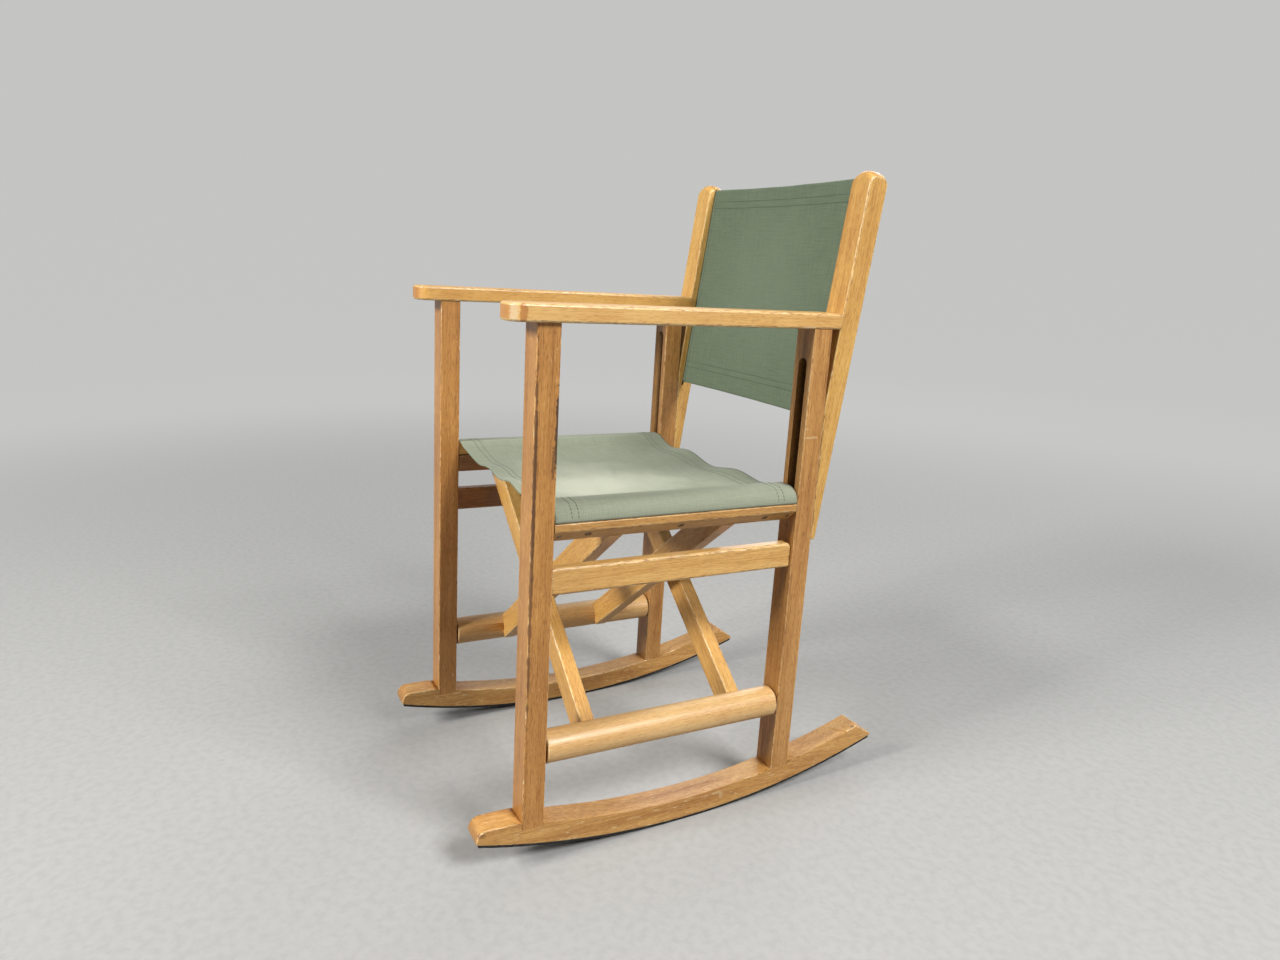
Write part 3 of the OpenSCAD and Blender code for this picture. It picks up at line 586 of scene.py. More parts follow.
@dataclass(frozen=True)
class CottonCanvas(Finish):
    """Heavy plain-woven cotton, piece-dyed sage green and faded by use.

    To the eye: a matt cloth with a fine square weave, slubs along both threads, and
    colour that is paler in a blotchy oval and stays greener at the hems.

    Attributes:
        pale_oval: How far the colour in the oval in the middle of the cloth is paler.
        middle: Its centre, in millimetres of cloth.
        half: Its half width and half depth.
        turned: Distance from the cloth's middle at which it turns over a bar.
        thread: Spacing of the threads. The real ones are 0.6 mm apart, too fine to show.
    """

    name: str
    colour: str
    pale_tone: str
    deep: str
    pale_oval: float = 0.5
    middle: tuple[float, float] = (0.0, 0.0)
    half: tuple[float, float] = (1.0, 1.0)
    turned: float = 500.0
    thread: float = 1.3

    def paint(self, tree: bpy.types.NodeTree) -> Inputs:
        """Adds the nodes of the weave, its slubs and its paler oval.

        The weave reads the piece's own UV map, in metres of cloth. Each thread's height
        is |sin| of its phase, and the thread on top is the one that the sign of the two
        sines' product picks.

        Args:
            tree: The material's tree.

        Returns:
            The shader's inputs by name, with what goes into each.
        """
        cloth = add(tree, "UVMap", uv_map="cloth")
        places = add(tree, "SeparateXYZ", {0: cloth}).outputs
        waves = []
        for place in (places[0], places[1]):
            turns = {0: place, 1: math.pi / (self.thread * MM)}
            phase = add(tree, "Math", turns, operation="MULTIPLY")
            waves.append(add(tree, "Math", {0: phase}, operation="SINE"))
        over = add(tree, "Math", {0: waves[0], 1: waves[1]}, operation="MULTIPLY")
        pick = add(tree, "Math", {0: over, 1: 0.0}, operation="GREATER_THAN")
        warp, weft = (add(tree, "Math", {0: w}, operation="ABSOLUTE") for w in waves)
        weave = add(tree, "Mix", {"Factor": pick, "A": warp, "B": weft}, data_type="FLOAT")
        # slubs: thicker stretches of thread, 25 mm long across and along the cloth
        slubs = []
        for stretch in ((40.0, 700.0, 1.0), (700.0, 40.0, 1.0)):
            way = add(tree, "VectorMath", {0: cloth, 1: stretch}, operation="MULTIPLY")
            slub: Inputs = {"Vector": way, "Scale": 1.0, "Detail": 3.0, "Roughness": 0.65}
            slubs.append(add(tree, "TexNoise", slub))
        thread = add(tree, "Math", {0: slubs[0], 1: slubs[1]}, operation="ADD")
        # paler colour: an oval in the middle of the cloth with a blotchy edge
        oval: Inputs = {
            "Vector": cloth,
            "Location": (*(c * MM for c in self.middle), 0),
            "Scale": (*(h * MM for h in self.half), 1),
        }
        placed = add(tree, "Mapping", oval, vector_type="TEXTURE")
        reach = add(tree, "VectorMath", {0: placed}, operation="LENGTH").outputs["Value"]
        blotch = add(tree, "TexNoise", {"Vector": cloth, "Scale": 18.0, "Detail": 4.0})
        edge = add(tree, "Math", {0: blotch, 1: 0.9, 2: reach}, operation="MULTIPLY_ADD")
        aside = add(tree, "Math", {0: places[0]}, operation="ABSOLUTE")
        lightness, pale_patch, worn, shade = (
            add(tree, "MapRange", dict(zip(RANGE, row)))
            for row in (
                (thread, 0.7, 1.3, 0.0, 1.0),
                (edge, 0.7, 1.5, self.pale_oval, 0.0),
                # where the cloth turns over a bar
                (aside, (self.turned - 30) * MM, (self.turned + 6) * MM, 0.0, 0.22),
                (weave, 0.0, 1.0, 0.82, 1.04),
            )
        )
        paler = add(tree, "Math", {0: pale_patch, 1: worn}, operation="MAXIMUM")
        tones = {"Factor": lightness, "A": self.deep, "B": self.colour}
        dyed = add(tree, "Mix", tones, data_type="RGBA")
        paled = add(tree, "Mix", {"Factor": paler, "A": dyed, "B": self.pale_tone}, data_type="RGBA")
        woven = {"Factor": 1.0, "A": paled, "B": shade}
        height = add(tree, "Math", {0: thread, 1: 0.7, 2: weave}, operation="MULTIPLY_ADD")
        relief = {"Strength": 0.6, "Distance": 0.25 * MM, "Height": height}
        return {
            "Base Color": add(tree, "Mix", woven, data_type="RGBA", blend_type="MULTIPLY"),
            "Normal": add(tree, "Bump", relief),
            "Roughness": 0.92,
            "Specular IOR Level": 0.25,
            "Sheen Weight": 0.12,
            "Sheen Roughness": 0.5,
        }


@dataclass(frozen=True)
class SewingThread(Finish):
    """Twisted polyester thread, darker than the cloth, with a slight lustre."""

    name: str
    colour: str
    dark: str

    def paint(self, tree: bpy.types.NodeTree) -> Inputs:
        """Adds the nodes of the twisted strands.

        Args:
            tree: The material's tree.

        Returns:
            The shader's inputs by name, with what goes into each.
        """
        here = add(tree, "TexCoord").outputs["Object"]
        # strands twisted round each other, 0.5 mm apart
        twist = add(tree, "TexNoise", {"Vector": here, "Scale": 2.0 / MM, "Detail": 1.0})
        tones = ((0.35, self.dark), (0.65, self.colour))
        return {
            "Base Color": add(tree, "ValToRGB", {"Fac": twist}, stops=tones),
            "Normal": add(tree, "Bump", {"Strength": 0.4, "Distance": 0.08 * MM, "Height": twist}),
            "Roughness": 0.6,
        }


@dataclass
class Timber:
    """A wooden piece: the solid model's shape with its arrises eased and worn.

    Attributes:
        node: The CAD node whose shape it takes.
        body: The body that it rides on.
        finish: Its wood.
        ease: Width of the eased arris, in millimetres.
    """

    node: str
    body: str
    finish: VarnishedBeech
    ease: float = 1.2

    def eased(self, a: np.ndarray, b: np.ndarray) -> np.ndarray:
        """Which sharp edges are eased.

        Args:
            a: First ends of the edges, in upright millimetres.
            b: Second ends.

        Returns:
            True for each edge whose two ends may end an arris and that is in no joint.
        """
        return self.outline(a) & self.outline(b) & ~self.joined(a, b)

    def outline(self, p: np.ndarray) -> np.ndarray:
        """Which points may end an eased arris: those of the inner and the outer side."""
        return near(np.abs(p[:, 0]), FRAME.inner, FRAME.outer)

    def joined(self, a: np.ndarray, b: np.ndarray) -> np.ndarray:
        """Which edges lie in a joint and stay sharp. None, unless a kind of piece says so."""
        return np.zeros(len(a), bool)

    def carve(self, mesh: bpy.types.Mesh) -> None:
        """Changes the merged shape. Nothing, unless a kind of piece says so."""

    def build(self, nodes: Nodes) -> bpy.types.Object:
        """Copies the solid's mesh, merges it, rounds the chosen arrises and dresses it.

        Args:
            nodes: The frame's CAD nodes by name.

        Returns:
            The new piece, which rides on its body and stands for its node.
        """
        mesh = nodes[self.node].data.copy()
        mesh.name = self.node + "_wood"
        with opened(mesh) as work:
            bmesh.ops.remove_doubles(work, verts=work.verts, dist=MERGE)
            flat = math.radians(0.6)
            bmesh.ops.dissolve_limit(work, angle_limit=flat, verts=work.verts, edges=work.edges)
        self.carve(mesh)
        piece = put(self.node + "_wood", mesh)
        mesh.materials.clear()
        mesh.materials.append(self.finish.material())
        mesh.materials.append(self.finish.arris())
        self.mark_arrises(mesh)
        bevel = piece.modifiers.new("eased_arris", "BEVEL")
        bevel.limit_method = "WEIGHT"
        bevel.width = self.ease * MM
        bevel.segments = 3
        bevel.use_clamp_overlap = False
        bevel.material = 1
        # broad faces keep their own normals up to the eased arris
        faces = piece.modifiers.new("flat_faces", "WEIGHTED_NORMAL")
        faces.keep_sharp = True
        faces.weight = 100
        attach(piece, self.body)
        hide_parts(self.node)
        return piece

    def mark_arrises(self, mesh: bpy.types.Mesh, smooth: float = 28, sharp: float = 30) -> None:
        """Gives each convex arris that is to be eased a bevel weight of 1.

        An edge is an arris if its two faces' normals differ enough, and convex if the
        second face's middle lies behind the first face's plane.

        Args:
            mesh: The merged mesh, changed in place.
            smooth: Degrees up to which two faces are shaded as one.
            sharp: Degrees over which the edge between them is an arris.
        """
        faces = mesh.polygons
        faces.foreach_set("use_smooth", np.ones(len(faces), bool))
        mesh.set_sharp_from_angle(angle=math.radians(smooth))
        points = STANCE.upright(read(mesh.vertices, "co", 3))
        ends = read(mesh.edges, "vertices", 2, int)
        normals, centres = read(faces, "normal", 3), read(faces, "center", 3)
        edge_of = read(mesh.loops, "edge_index", 1, int)
        face_of = np.repeat(np.arange(len(faces)), read(faces, "loop_total", 1, int))
        order = np.argsort(edge_of, kind="stable")
        count = np.bincount(edge_of, minlength=len(ends))
        first = np.concatenate([[0], np.cumsum(count)[:-1]])
        paired = np.flatnonzero(count == 2)
        one, two = face_of[order[first[paired]]], face_of[order[first[paired] + 1]]
        turn = (normals[one] * normals[two]).sum(1)
        behind = ((centres[two] - centres[one]) * normals[one]).sum(1) < 0
        a, b = points[ends[paired, 0]], points[ends[paired, 1]]
        chosen = (turn < math.cos(math.radians(sharp))) & behind & self.eased(a, b)
        weight = np.zeros(len(ends), np.float32)
        weight[paired[chosen]] = 1.0
        layer = mesh.attributes.new("bevel_weight_edge", "FLOAT", "EDGE")
        layer.data.foreach_set("value", weight)


@dataclass
class Rocker(Timber):
    """Curved runner with seats for the two posts."""

    ease: float = 1.1

    def seats(self, p: np.ndarray) -> np.ndarray:
        """Which points lie in a post's seat.

        Args:
            p: Points in upright millimetres.

        Returns:
            True for each point under a post and not below its foot.
        """
        front = (p[:, 1] > -SLACK) & (p[:, 1] < FRAME.post_depth + SLACK)
        rear = (p[:, 1] > FRAME.rear_y - SLACK) & (p[:, 1] < FRAME.back_y + SLACK)
        return (front | rear) & (p[:, 2] > -SLACK)

    def joined(self, a: np.ndarray, b: np.ndarray) -> np.ndarray:
        """Edges of the seats that the posts stand in."""
        return self.seats(a) & self.seats(b)


@dataclass
class Post(Timber):
    """Post between the rocker and the arm."""

    ease: float = 0.9

    def joined(self, a: np.ndarray, b: np.ndarray) -> np.ndarray:
        """Edges of the foot and of the top, which meet the rocker and the arm."""
        low, high = np.minimum(a[:, 2], b[:, 2]), np.maximum(a[:, 2], b[:, 2])
        return (high < SLACK) | (low > FRAME.arm_z - SLACK)


@dataclass
class Stretcher(Timber):
    """Board between the posts, rounded all round.

    Attributes:
        inset: How far its outer side lies inside the posts' outer side.
        thick: Its thickness.
    """

    ease: float = 2.2
    inset: float = 3.0
    thick: float = 12.0

    def outline(self, p: np.ndarray) -> np.ndarray:
        """Points of the board's own inner and outer side."""
        outer = FRAME.outer - self.inset
        return near(np.abs(p[:, 0]), outer - self.thick, outer)


@dataclass
class Upright(Timber):
    """Back upright, a wedge against the post below, its top crowned across its width.

    Attributes:
        rise: Its length above the place where it leaves the post.
        corner: Radius of its top corners.
        crown: How far its sides end below the middle of its top.
        power: How sharply the top falls off towards the sides.
        cuts: Shares of its half width at which it is cut lengthways for that.
        foot_z: A height just above its lower end.
        groove: Front and rear of the rim of the canvas's groove behind its front face.
    """

    ease: float = 1.3
    rise: float = 209.5
    corner: float = 7.0
    crown: float = 5.5
    power: float = 2.4
    cuts: tuple[float, ...] = (0.0, 0.2, 0.4, 0.65, 0.85, 1.0)
    foot_z: float = 245.0
    groove: tuple[float, float] = (4.0, 12.0)

    def eased(self, a: np.ndarray, b: np.ndarray) -> np.ndarray:
        """Which sharp edges are eased.

        Args:
            a: First ends of the edges, in upright millimetres.
            b: Second ends.

        Returns:
            True for those of the two sides, and for those across the foot, which
            carve() has cut up.
        """
        across = (np.abs(a - b)[:, 1:] < SLACK).all(1)
        foot = np.maximum(a[:, 2], b[:, 2]) < self.foot_z
        return super().eased(a, b) | (across & foot)

    def rim(self, p: np.ndarray) -> np.ndarray:
        """Which points lie on the rim of the groove that the canvas's hem is in."""
        depth, (front, rear) = FRAME.depth(p), self.groove
        return near(np.abs(p[:, 0]), FRAME.inner) & (depth > front) & (depth < rear)

    def joined(self, a: np.ndarray, b: np.ndarray) -> np.ndarray:
        """Edges of the groove's rim."""
        return self.rim(a) & self.rim(b)

    def carve(self, mesh: bpy.types.Mesh) -> None:
        """Lowers the top by crown x t^power along the upright, t running from 0 in the
        middle of its width to 1 at its two sides.

        Args:
            mesh: The merged mesh, cut lengthways at each t in cuts and changed in place.
        """
        half = FRAME.outer - FRAME.middle
        side = 1 if self.node.endswith("right") else -1
        with opened(mesh) as work:
            for t in (*self.cuts[:-1], *(-t for t in self.cuts[1:-1])):
                whole = [*work.verts, *work.edges, *work.faces]
                place = (side * (FRAME.middle + t * half) * MM, 0, 0)
                bmesh.ops.bisect_plane(
                    work, geom=whole, dist=1e-6, plane_co=place, plane_no=(1, 0, 0)
                )
        points = STANCE.upright(read(mesh.vertices, "co", 3))
        way = np.array(Grain.BACK.value)
        height = (points - [0, FRAME.back_y, FRAME.break_z]) @ way
        t = np.abs(np.abs(points[:, 0]) - FRAME.middle) / half
        drop = np.interp(t, self.cuts, self.crown * np.array(self.cuts) ** self.power)
        drop = np.where(height > self.rise - self.corner - TOUCH, drop, 0)
        points -= drop[:, None] * way
        mesh.vertices.foreach_set("co", STANCE.place(points).ravel())


@dataclass
class Arm(Timber):
    """Arm on top of the posts, its outline rounded above and below.

    Attributes:
        dowel: Reach of a dowel's hole from the middle of the post.
        hole_y: The front of the foremost hole.
    """

    ease: float = 2.0
    dowel: float = 6.0
    hole_y: float = -5.0

    def outline(self, p: np.ndarray) -> np.ndarray:
        """Points of the upper and lower side, without the dowels' holes.

        Args:
            p: Points in upright millimetres.

        Returns:
            True for each of them.
        """
        hole = (np.abs(np.abs(p[:, 0]) - FRAME.middle) < self.dowel) & (p[:, 1] > self.hole_y)
        return near(p[:, 2], FRAME.arm_z, FRAME.arm_z + FRAME.arm_t) & ~hole

    def joined(self, a: np.ndarray, b: np.ndarray) -> np.ndarray:
        """Edges of the rear end, which meets the upright."""
        return (FRAME.depth(a) > -SLACK) & (FRAME.depth(b) > -SLACK)


@dataclass
class LowerRail(Timber):
    """Pivoting round rail with the rims of its ends eased.

    Attributes:
        ends: Where its two end faces lie, front to back.
        pin: Reach of the round ends that turn in the posts.
    """

    ease: float = 1.2
    ends: tuple[float, float] = (21.5, 258.5)
    pin: float = 8.0

    def outline(self, p: np.ndarray) -> np.ndarray:
        """Points of the two end faces, away from the round ends."""
        return near(p[:, 1], *self.ends) & (FRAME.from_pivot(p) >= self.pin)


@dataclass
class SeatRail(Timber):
    """Rail under the canvas, bevelled below, with its long arrises eased."""

    ease: float = 0.9
    shortest: float = 30.0

    def eased(self, a: np.ndarray, b: np.ndarray) -> np.ndarray:
        """Edges that run along the rail."""
        return np.abs(a[:, 1] - b[:, 1]) > self.shortest


@dataclass
class Leg(Timber):
    """Crossed leg, hollowed for the lower rail and butted against the seat rail.

    Attributes:
        bolt: Reach of the bolt's hole.
        head_z: A height just below the leg's upper end.
        hollow: Reach of the hollow for the lower rail.
    """

    ease: float = 1.3
    bolt: float = 6.0
    head_z: float = 200.0
    hollow: float = 15.0

    def fitted(self, p: np.ndarray) -> np.ndarray:
        """Which points lie at the ends that are fitted to the two rails."""
        head = (np.abs(p[:, 0]) > FRAME.inner - SLACK) & (p[:, 2] > self.head_z)
        return head | (FRAME.from_pivot(p) < self.hollow)

    def eased(self, a: np.ndarray, b: np.ndarray) -> np.ndarray:
        """Which sharp edges are eased.

        Args:
            a: First ends of the edges, in upright millimetres.
            b: Second ends.

        Returns:
            True for those of the two broad faces, without the hole and the fitted ends.
        """
        hole = np.hypot(a[:, 0], a[:, 2] - FRAME.cross_z) < self.bolt
        broad = np.abs(a[:, 1] - b[:, 1]) < SLACK
        return broad & ~hole & ~(self.fitted(a) & self.fitted(b))


@dataclass
class Cloth:
    """A closed sheet of cloth on a grid, with stitches sewn along lines of the grid.

    Attributes:
        middle: Rows by columns by 3, the cloth's middle surface in upright millimetres.
        thick: Rows by columns, the thickness there.
        length: Rows by columns by 2, the place in the flat cloth in millimetres.
        seams: The points of each row of stitches.
        pitch: Distance from stitch to stitch.
        half: Half a stitch's length.
        radius: Half a stitch's thickness.
        lead: Distance of the first stitch's middle from the seam's start.
        tail: Least distance of the last one's from its end.
    """

    middle: np.ndarray
    thick: np.ndarray
    length: np.ndarray
    seams: list[np.ndarray] = field(default_factory=list)
    pitch: float = 3.3
    half: float = 1.25
    radius: float = 0.4
    lead: float = 2.0
    tail: float = 1.5

    def normals(self) -> np.ndarray:
        """Unit normals: the cross product of the grid's two directions."""
        normal = np.cross(np.gradient(self.middle, axis=1), np.gradient(self.middle, axis=0))
        return normal / np.linalg.norm(normal, axis=2, keepdims=True)

    def sample(self, grid: np.ndarray, rows: np.ndarray, cols: np.ndarray) -> np.ndarray:
        """Values of a grid between its points, by bilinear interpolation.

        Args:
            grid: Rows by columns by 3.
            rows: Fractional row of each place.
            cols: Fractional column of each place.

        Returns:
            Three values for each place.
        """
        r0 = np.clip(np.floor(rows).astype(int), 0, grid.shape[0] - 2)
        c0 = np.clip(np.floor(cols).astype(int), 0, grid.shape[1] - 2)
        fr, fc = (rows - r0)[:, None], (cols - c0)[:, None]
        top = grid[r0, c0] * (1 - fc) + grid[r0, c0 + 1] * fc
        bottom = grid[r0 + 1, c0] * (1 - fc) + grid[r0 + 1, c0 + 1] * fc
        return top * (1 - fr) + bottom * fr

    def sew(self, start: tuple[float, float], end: tuple[float, float]) -> None:
        """Sews a row of stitches between two grid places, on both sides of the cloth.

        Each stitch is an ellipsoid half sunk into the cloth. Its points are centre +
        half x cos(t) along the seam and radius x sin(t) round it.

        Args:
            start: Row and column of the first stitch.
            end: Row and column of the last one.
        """
        fine = np.linspace(0, 1, 400)
        rows = start[0] + (end[0] - start[0]) * fine
        cols = start[1] + (end[1] - start[1]) * fine
        t = np.linspace(0, math.pi, 6)[:, None, None]
        around = np.linspace(0, 2 * math.pi, 6, endpoint=False)[None, :, None]
        for side in (1, -1):
            surface = self.middle + self.normals() * self.thick[..., None] * side / 2
            line = self.sample(surface, rows, cols)
            run = travelled(np.linalg.norm(np.diff(line, axis=0), axis=1))
            at = np.arange(self.lead, run[-1] - self.tail, self.pitch)
            share = np.interp(at, run, fine)
            centre, ahead = (
                np.stack([np.interp(at + step, run, line[:, k]) for k in range(3)], 1)
                for step in (0.0, 1.0)
            )
            way = ahead - centre
            way /= np.maximum(np.linalg.norm(way, axis=1, keepdims=True), 1e-6)
            row = start[0] + (end[0] - start[0]) * share
            up = side * self.sample(self.normals(), row, start[1] + (end[1] - start[1]) * share)
            aside = np.cross(way, up)
            centre, way, aside, up = (v[:, None, None] for v in (centre, way, aside, up))
            ring = np.cos(around) * aside + np.sin(around) * up
            self.seams.append(centre + self.half * np.cos(t) * way + self.radius * np.sin(t) * ring)

    def part(self, first: int, last: int) -> Cloth:
        """The columns from first up to last as a cloth of their own, without stitches."""
        cut = np.s_[:, first:last]
        return Cloth(self.middle[cut], self.thick[cut], self.length[cut])

    def build(self, name: str, fabric: Finish, thread: Finish) -> bpy.types.Object:
        """Makes the mesh: two skins, a rim between them, and the stitches.

        Args:
            name: The piece's name.
            fabric: The cloth's finish.
            thread: The stitches' finish.

        Returns:
            The new piece, not yet riding on anything.
        """
        rows, cols = self.thick.shape
        half = self.normals() * self.thick[..., None] / 2
        skins = np.concatenate([(self.middle + s * half).reshape(-1, 3) for s in (1, -1)])
        up = np.arange(rows * cols).reshape(rows, cols)
        low = up + rows * cols
        quads = [
            np.stack([up[:-1, :-1], up[:-1, 1:], up[1:, 1:], up[1:, :-1]], -1),
            np.stack([low[:-1, :-1], low[1:, :-1], low[1:, 1:], low[:-1, 1:]], -1),
            np.stack([up[0, 1:], up[0, :-1], low[0, :-1], low[0, 1:]], -1),
            np.stack([up[-1, :-1], up[-1, 1:], low[-1, 1:], low[-1, :-1]], -1),
            np.stack([up[:-1, 0], up[1:, 0], low[1:, 0], low[:-1, 0]], -1),
            np.stack([up[1:, -1], up[:-1, -1], low[:-1, -1], low[1:, -1]], -1),
        ]
        faces = [quad.reshape(-1, 4) for quad in quads]
        skin_faces = sum(len(quad) for quad in faces)
        points, start = [skins], len(skins)
        for grid in self.seams:
            ids = start + np.arange(grid[..., 0].size).reshape(grid.shape[:-1])
            nxt = np.roll(ids, -1, axis=2)
            body = np.stack([ids[:, :-1], nxt[:, :-1], nxt[:, 1:], ids[:, 1:]], -1)
            faces.append(body.reshape(-1, 4))
            points.append(grid.reshape(-1, 3))
            start += ids.size
        mesh = bpy.data.meshes.new(name)
        mesh.from_pydata(STANCE.place(np.concatenate(points)), [], np.concatenate(faces))
        mesh.materials.append(fabric.material())
        mesh.materials.append(thread.material())
        kinds = (np.arange(len(mesh.polygons)) >= skin_faces).astype(int)
        mesh.polygons.foreach_set("material_index", kinds)
        mesh.polygons.foreach_set("use_smooth", np.ones(len(mesh.polygons), bool))
        flat = np.concatenate([self.length.reshape(-1, 2)] * 2) * MM
        flat = np.concatenate([flat, np.zeros((start - len(skins), 2))])
        corners = read(mesh.loops, "vertex_index", 1, int)
        mesh.uv_layers.new(name="cloth").data.foreach_set("uv", flat[corners].ravel())
        mesh.validate()
        with opened(mesh) as work:
            bmesh.ops.remove_doubles(work, verts=work.verts, dist=CLOSE)
        return put(name, mesh)


@dataclass
class SeatCanvas:
    """Seat: one sheet over the two bars, its side hems held under them.

    Attributes:
        cloth_t: Thickness of the cloth.
        hem_t: What the folded hem adds to it.
        gap: Clearance between the cloth and the wood.
        bar_out: Outer side of a bar.
        bar_round: Radius of its upper outer edge.
        rail_top: Height of the rail's upper side.
        bar_top: Height of the bar's upper side.
        hem_in: Width of the hem under the bar.
        sag: How far the middle of the seat hangs below the bars.
        front_sag: The same at the front edge.
        rear_sag: The same at the rear edge.
        power: How sharply the sag falls off at the bars.
        draw: How far the front and rear edges are drawn in between the bars.
        front_fold: Height, place across and spacing of the waves at the front edge.
        rear_fold: The same at the rear edge.
        pull: Height of the faint pulls from bar to bar.
        pulls: How many of them there are from front to rear.
        hem_depth: Depth of the front and rear hems.
        needles: Distances of the hems' two seams from their inner edge.
        creases: Middle, direction in degrees and height of each crease.
        crease_reach: Reach of a crease across its line and along it.
        seam_col: Column of the grid at which the seams start, beside a bar.
        rows: Points from front to rear.
        cols: Points from bar to bar.
    """

    cloth_t: float = 1.2
    hem_t: float = 0.7
    gap: float = 0.1
    bar_out: float = 144.0
    bar_round: float = 12.0
    rail_top: float = 271.0
    bar_top: float = 285.0
    hem_in: float = 9.0
    sag: float = 14.0
    front_sag: float = 10.0
    rear_sag: float = 7.2
    power: float = 5.0
    draw: float = 4.0
    front_fold: tuple[float, float, float] = (2.0, -36.0, 62.0)
    rear_fold: tuple[float, float, float] = (3.2, 53.0, 97.0)
    pull: float = 0.25
    pulls: float = 9.0
    hem_depth: float = 22.0
    needles: tuple[float, float] = (7.5, 1.5)
    creases: tuple[tuple[float, float, float, float], ...] = (
        (24, 118, 142, 0.9),
        (-28, 150, 160, 0.7),
        (-8, 84, 115, 0.7),
        (52, 150, 62, 0.6),
        (-62, 112, 25, 0.6),
    )
    crease_reach: tuple[float, float] = (3.2, 45.0)
    seam_col: float = 7.0
    rows: int = 110
    cols: int = 120

    def line(self) -> tuple[np.ndarray, np.ndarray]:
        """Right-hand hem and turn over the bar: straight in under the bar, then a
        quarter circle round its outer edge.

        Returns:
            X and Z of the points, up to the top of the bar.
        """
        middle = self.gap + self.cloth_t / 2
        corner_x, corner_z = self.bar_out - self.bar_round, self.bar_top - self.bar_round
        turn = np.radians(np.linspace(0, 90, 16))
        reach = self.bar_round + middle
        under = np.linspace(self.bar_out - self.hem_in, self.bar_out - 1, 5)
        low = self.rail_top + middle
        x = [under, [self.bar_out + middle - 0.25], corner_x + reach * np.cos(turn)]
        z = [np.full(5, low), [low + 0.3], corner_z + reach * np.sin(turn)]
        return np.concatenate(x), np.concatenate(z)

    def sheet(self, x: np.ndarray, v: np.ndarray, crest: float) -> np.ndarray:
        """Heights of the cloth between the bars.

        The height is crest - sag x (1 - u^power), u running from 0 in the middle to 1 at
        the rails' inner sides, plus cosine folds that grow towards the front and rear
        edges. The sag changes from the edges to the middle with |2v - 1|^3. Faint sine
        pulls run from bar to bar. Each crease is a ridge exp(-(d / reach)^2) across its
        line and the same along it, each way with its own reach.

        Args:
            x: Places from bar to bar.
            v: Shares of the way from front to rear, one to a row.
            crest: Height of the cloth on top of the bars.

        Returns:
            Rows by columns of heights.
        """
        u = np.clip(np.abs(x) / (FRAME.inner - self.cloth_t), 0, 1)
        edge = np.abs(2 * v - 1) ** 3
        sag = self.sag + (np.where(v < 0.5, self.front_sag, self.rear_sag) - self.sag) * edge
        front, rear = (
            rise * np.cos(2 * math.pi * (x - at) / pitch) * (1 - u**fall)
            for (rise, at, pitch), fall in ((self.front_fold, 2), (self.rear_fold, 6))
        )
        high = crest - sag * (1 - u**self.power) + edge * np.where(v < 0.5, front, rear)
        phase = 2 * math.pi * (v * self.pulls + 0.6 * np.sin(x / 47))
        high = high + self.pull * np.sin(phase) * (1 - u**2)
        wide, long = self.crease_reach
        for x0, y0, way, height in self.creases:
            c, s = math.cos(math.radians(way)), math.sin(math.radians(way))
            dx, dy = x - x0, FRAME.rail_front + v * FRAME.rail_len - y0
            ridge = np.exp(-(((dy * c - dx * s) / wide) ** 2) - ((dx * c + dy * s) / long) ** 2)
            high = high + height * ridge * (1 - u**6)
        return high

    def surface(self) -> Cloth:
        """Shapes the cloth: hem, turn, the sheet between the bars, turn and hem.

        Its front and rear edges are drawn in by draw x (1 - (x / reach)^2).

        Returns:
            The cloth with its seams.
        """
        wrap_x, wrap_z = self.line()
        inner = FRAME.inner - self.cloth_t
        bar = np.linspace(wrap_x[-1], inner, 6)
        span = inner * np.cos(np.linspace(0, math.pi, self.cols))
        flat_x = np.concatenate([bar[1:], span[1:-1], np.linspace(-inner, -wrap_x[-1], 6)[:-1]])
        x = np.concatenate([wrap_x, flat_x, -wrap_x[::-1]])
        v = np.linspace(0, 1, self.rows)[:, None]
        right, left = (np.repeat(side[None], self.rows, 0) for side in (wrap_z, wrap_z[::-1]))
        z = np.concatenate([right, self.sheet(flat_x, v, wrap_z[-1]), left], 1)
        drawn = self.draw * np.maximum(0, 1 - (x / wrap_x[-1]) ** 2)
        deep = FRAME.rail_len - 2 * self.gap
        y = FRAME.rail_front + self.gap + v * deep + (1 - 2 * v) * drawn
        middle = np.stack([np.broadcast_to(x, z.shape), y, z], -1)
        # the hem is folded under, so it is thicker up to its seam
        from_edge = np.minimum(y - y[:1], y[-1:] - y)
        hem = 1 - smooth_step(from_edge, self.hem_depth - 1.0, self.hem_depth + 0.6)
        between = 1 - smooth_step(np.abs(x), inner - 8, inner)
        run = travelled(np.linalg.norm(np.diff(middle[self.rows // 2], axis=0), axis=1))
        length = np.stack([np.broadcast_to(run - run[-1] / 2, z.shape), y], -1)
        cloth = Cloth(middle, self.cloth_t + self.hem_t * hem * between, length)
        last, step = len(x) - 1, (self.rows - 1) / FRAME.rail_len
        for depth in (self.hem_depth - needle for needle in self.needles):
            for row in (depth * step, self.rows - 1 - depth * step):
                cloth.sew((row, self.seam_col), (row, last - self.seam_col))
        return cloth

    def build(self) -> bpy.types.Object:
        """Makes the seat and hides the CAD seat that it stands for.

        Returns:
            The new piece.
        """
        fabric = CottonCanvas(
            "sage_cotton_canvas_seat", "#929984", "#C3C6B2", "#7D8571",
            pale_oval=0.75, middle=(-38.0, 104.0), half=(104.0, 98.0), turned=140.0,
        )
        thread = SewingThread("dark_green_seat_thread", "#5F6F5C", "#4A5A48")
        piece = self.surface().build("seat_cloth", fabric, thread)
        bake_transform(piece)
        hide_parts("seat_canvas")
        return piece


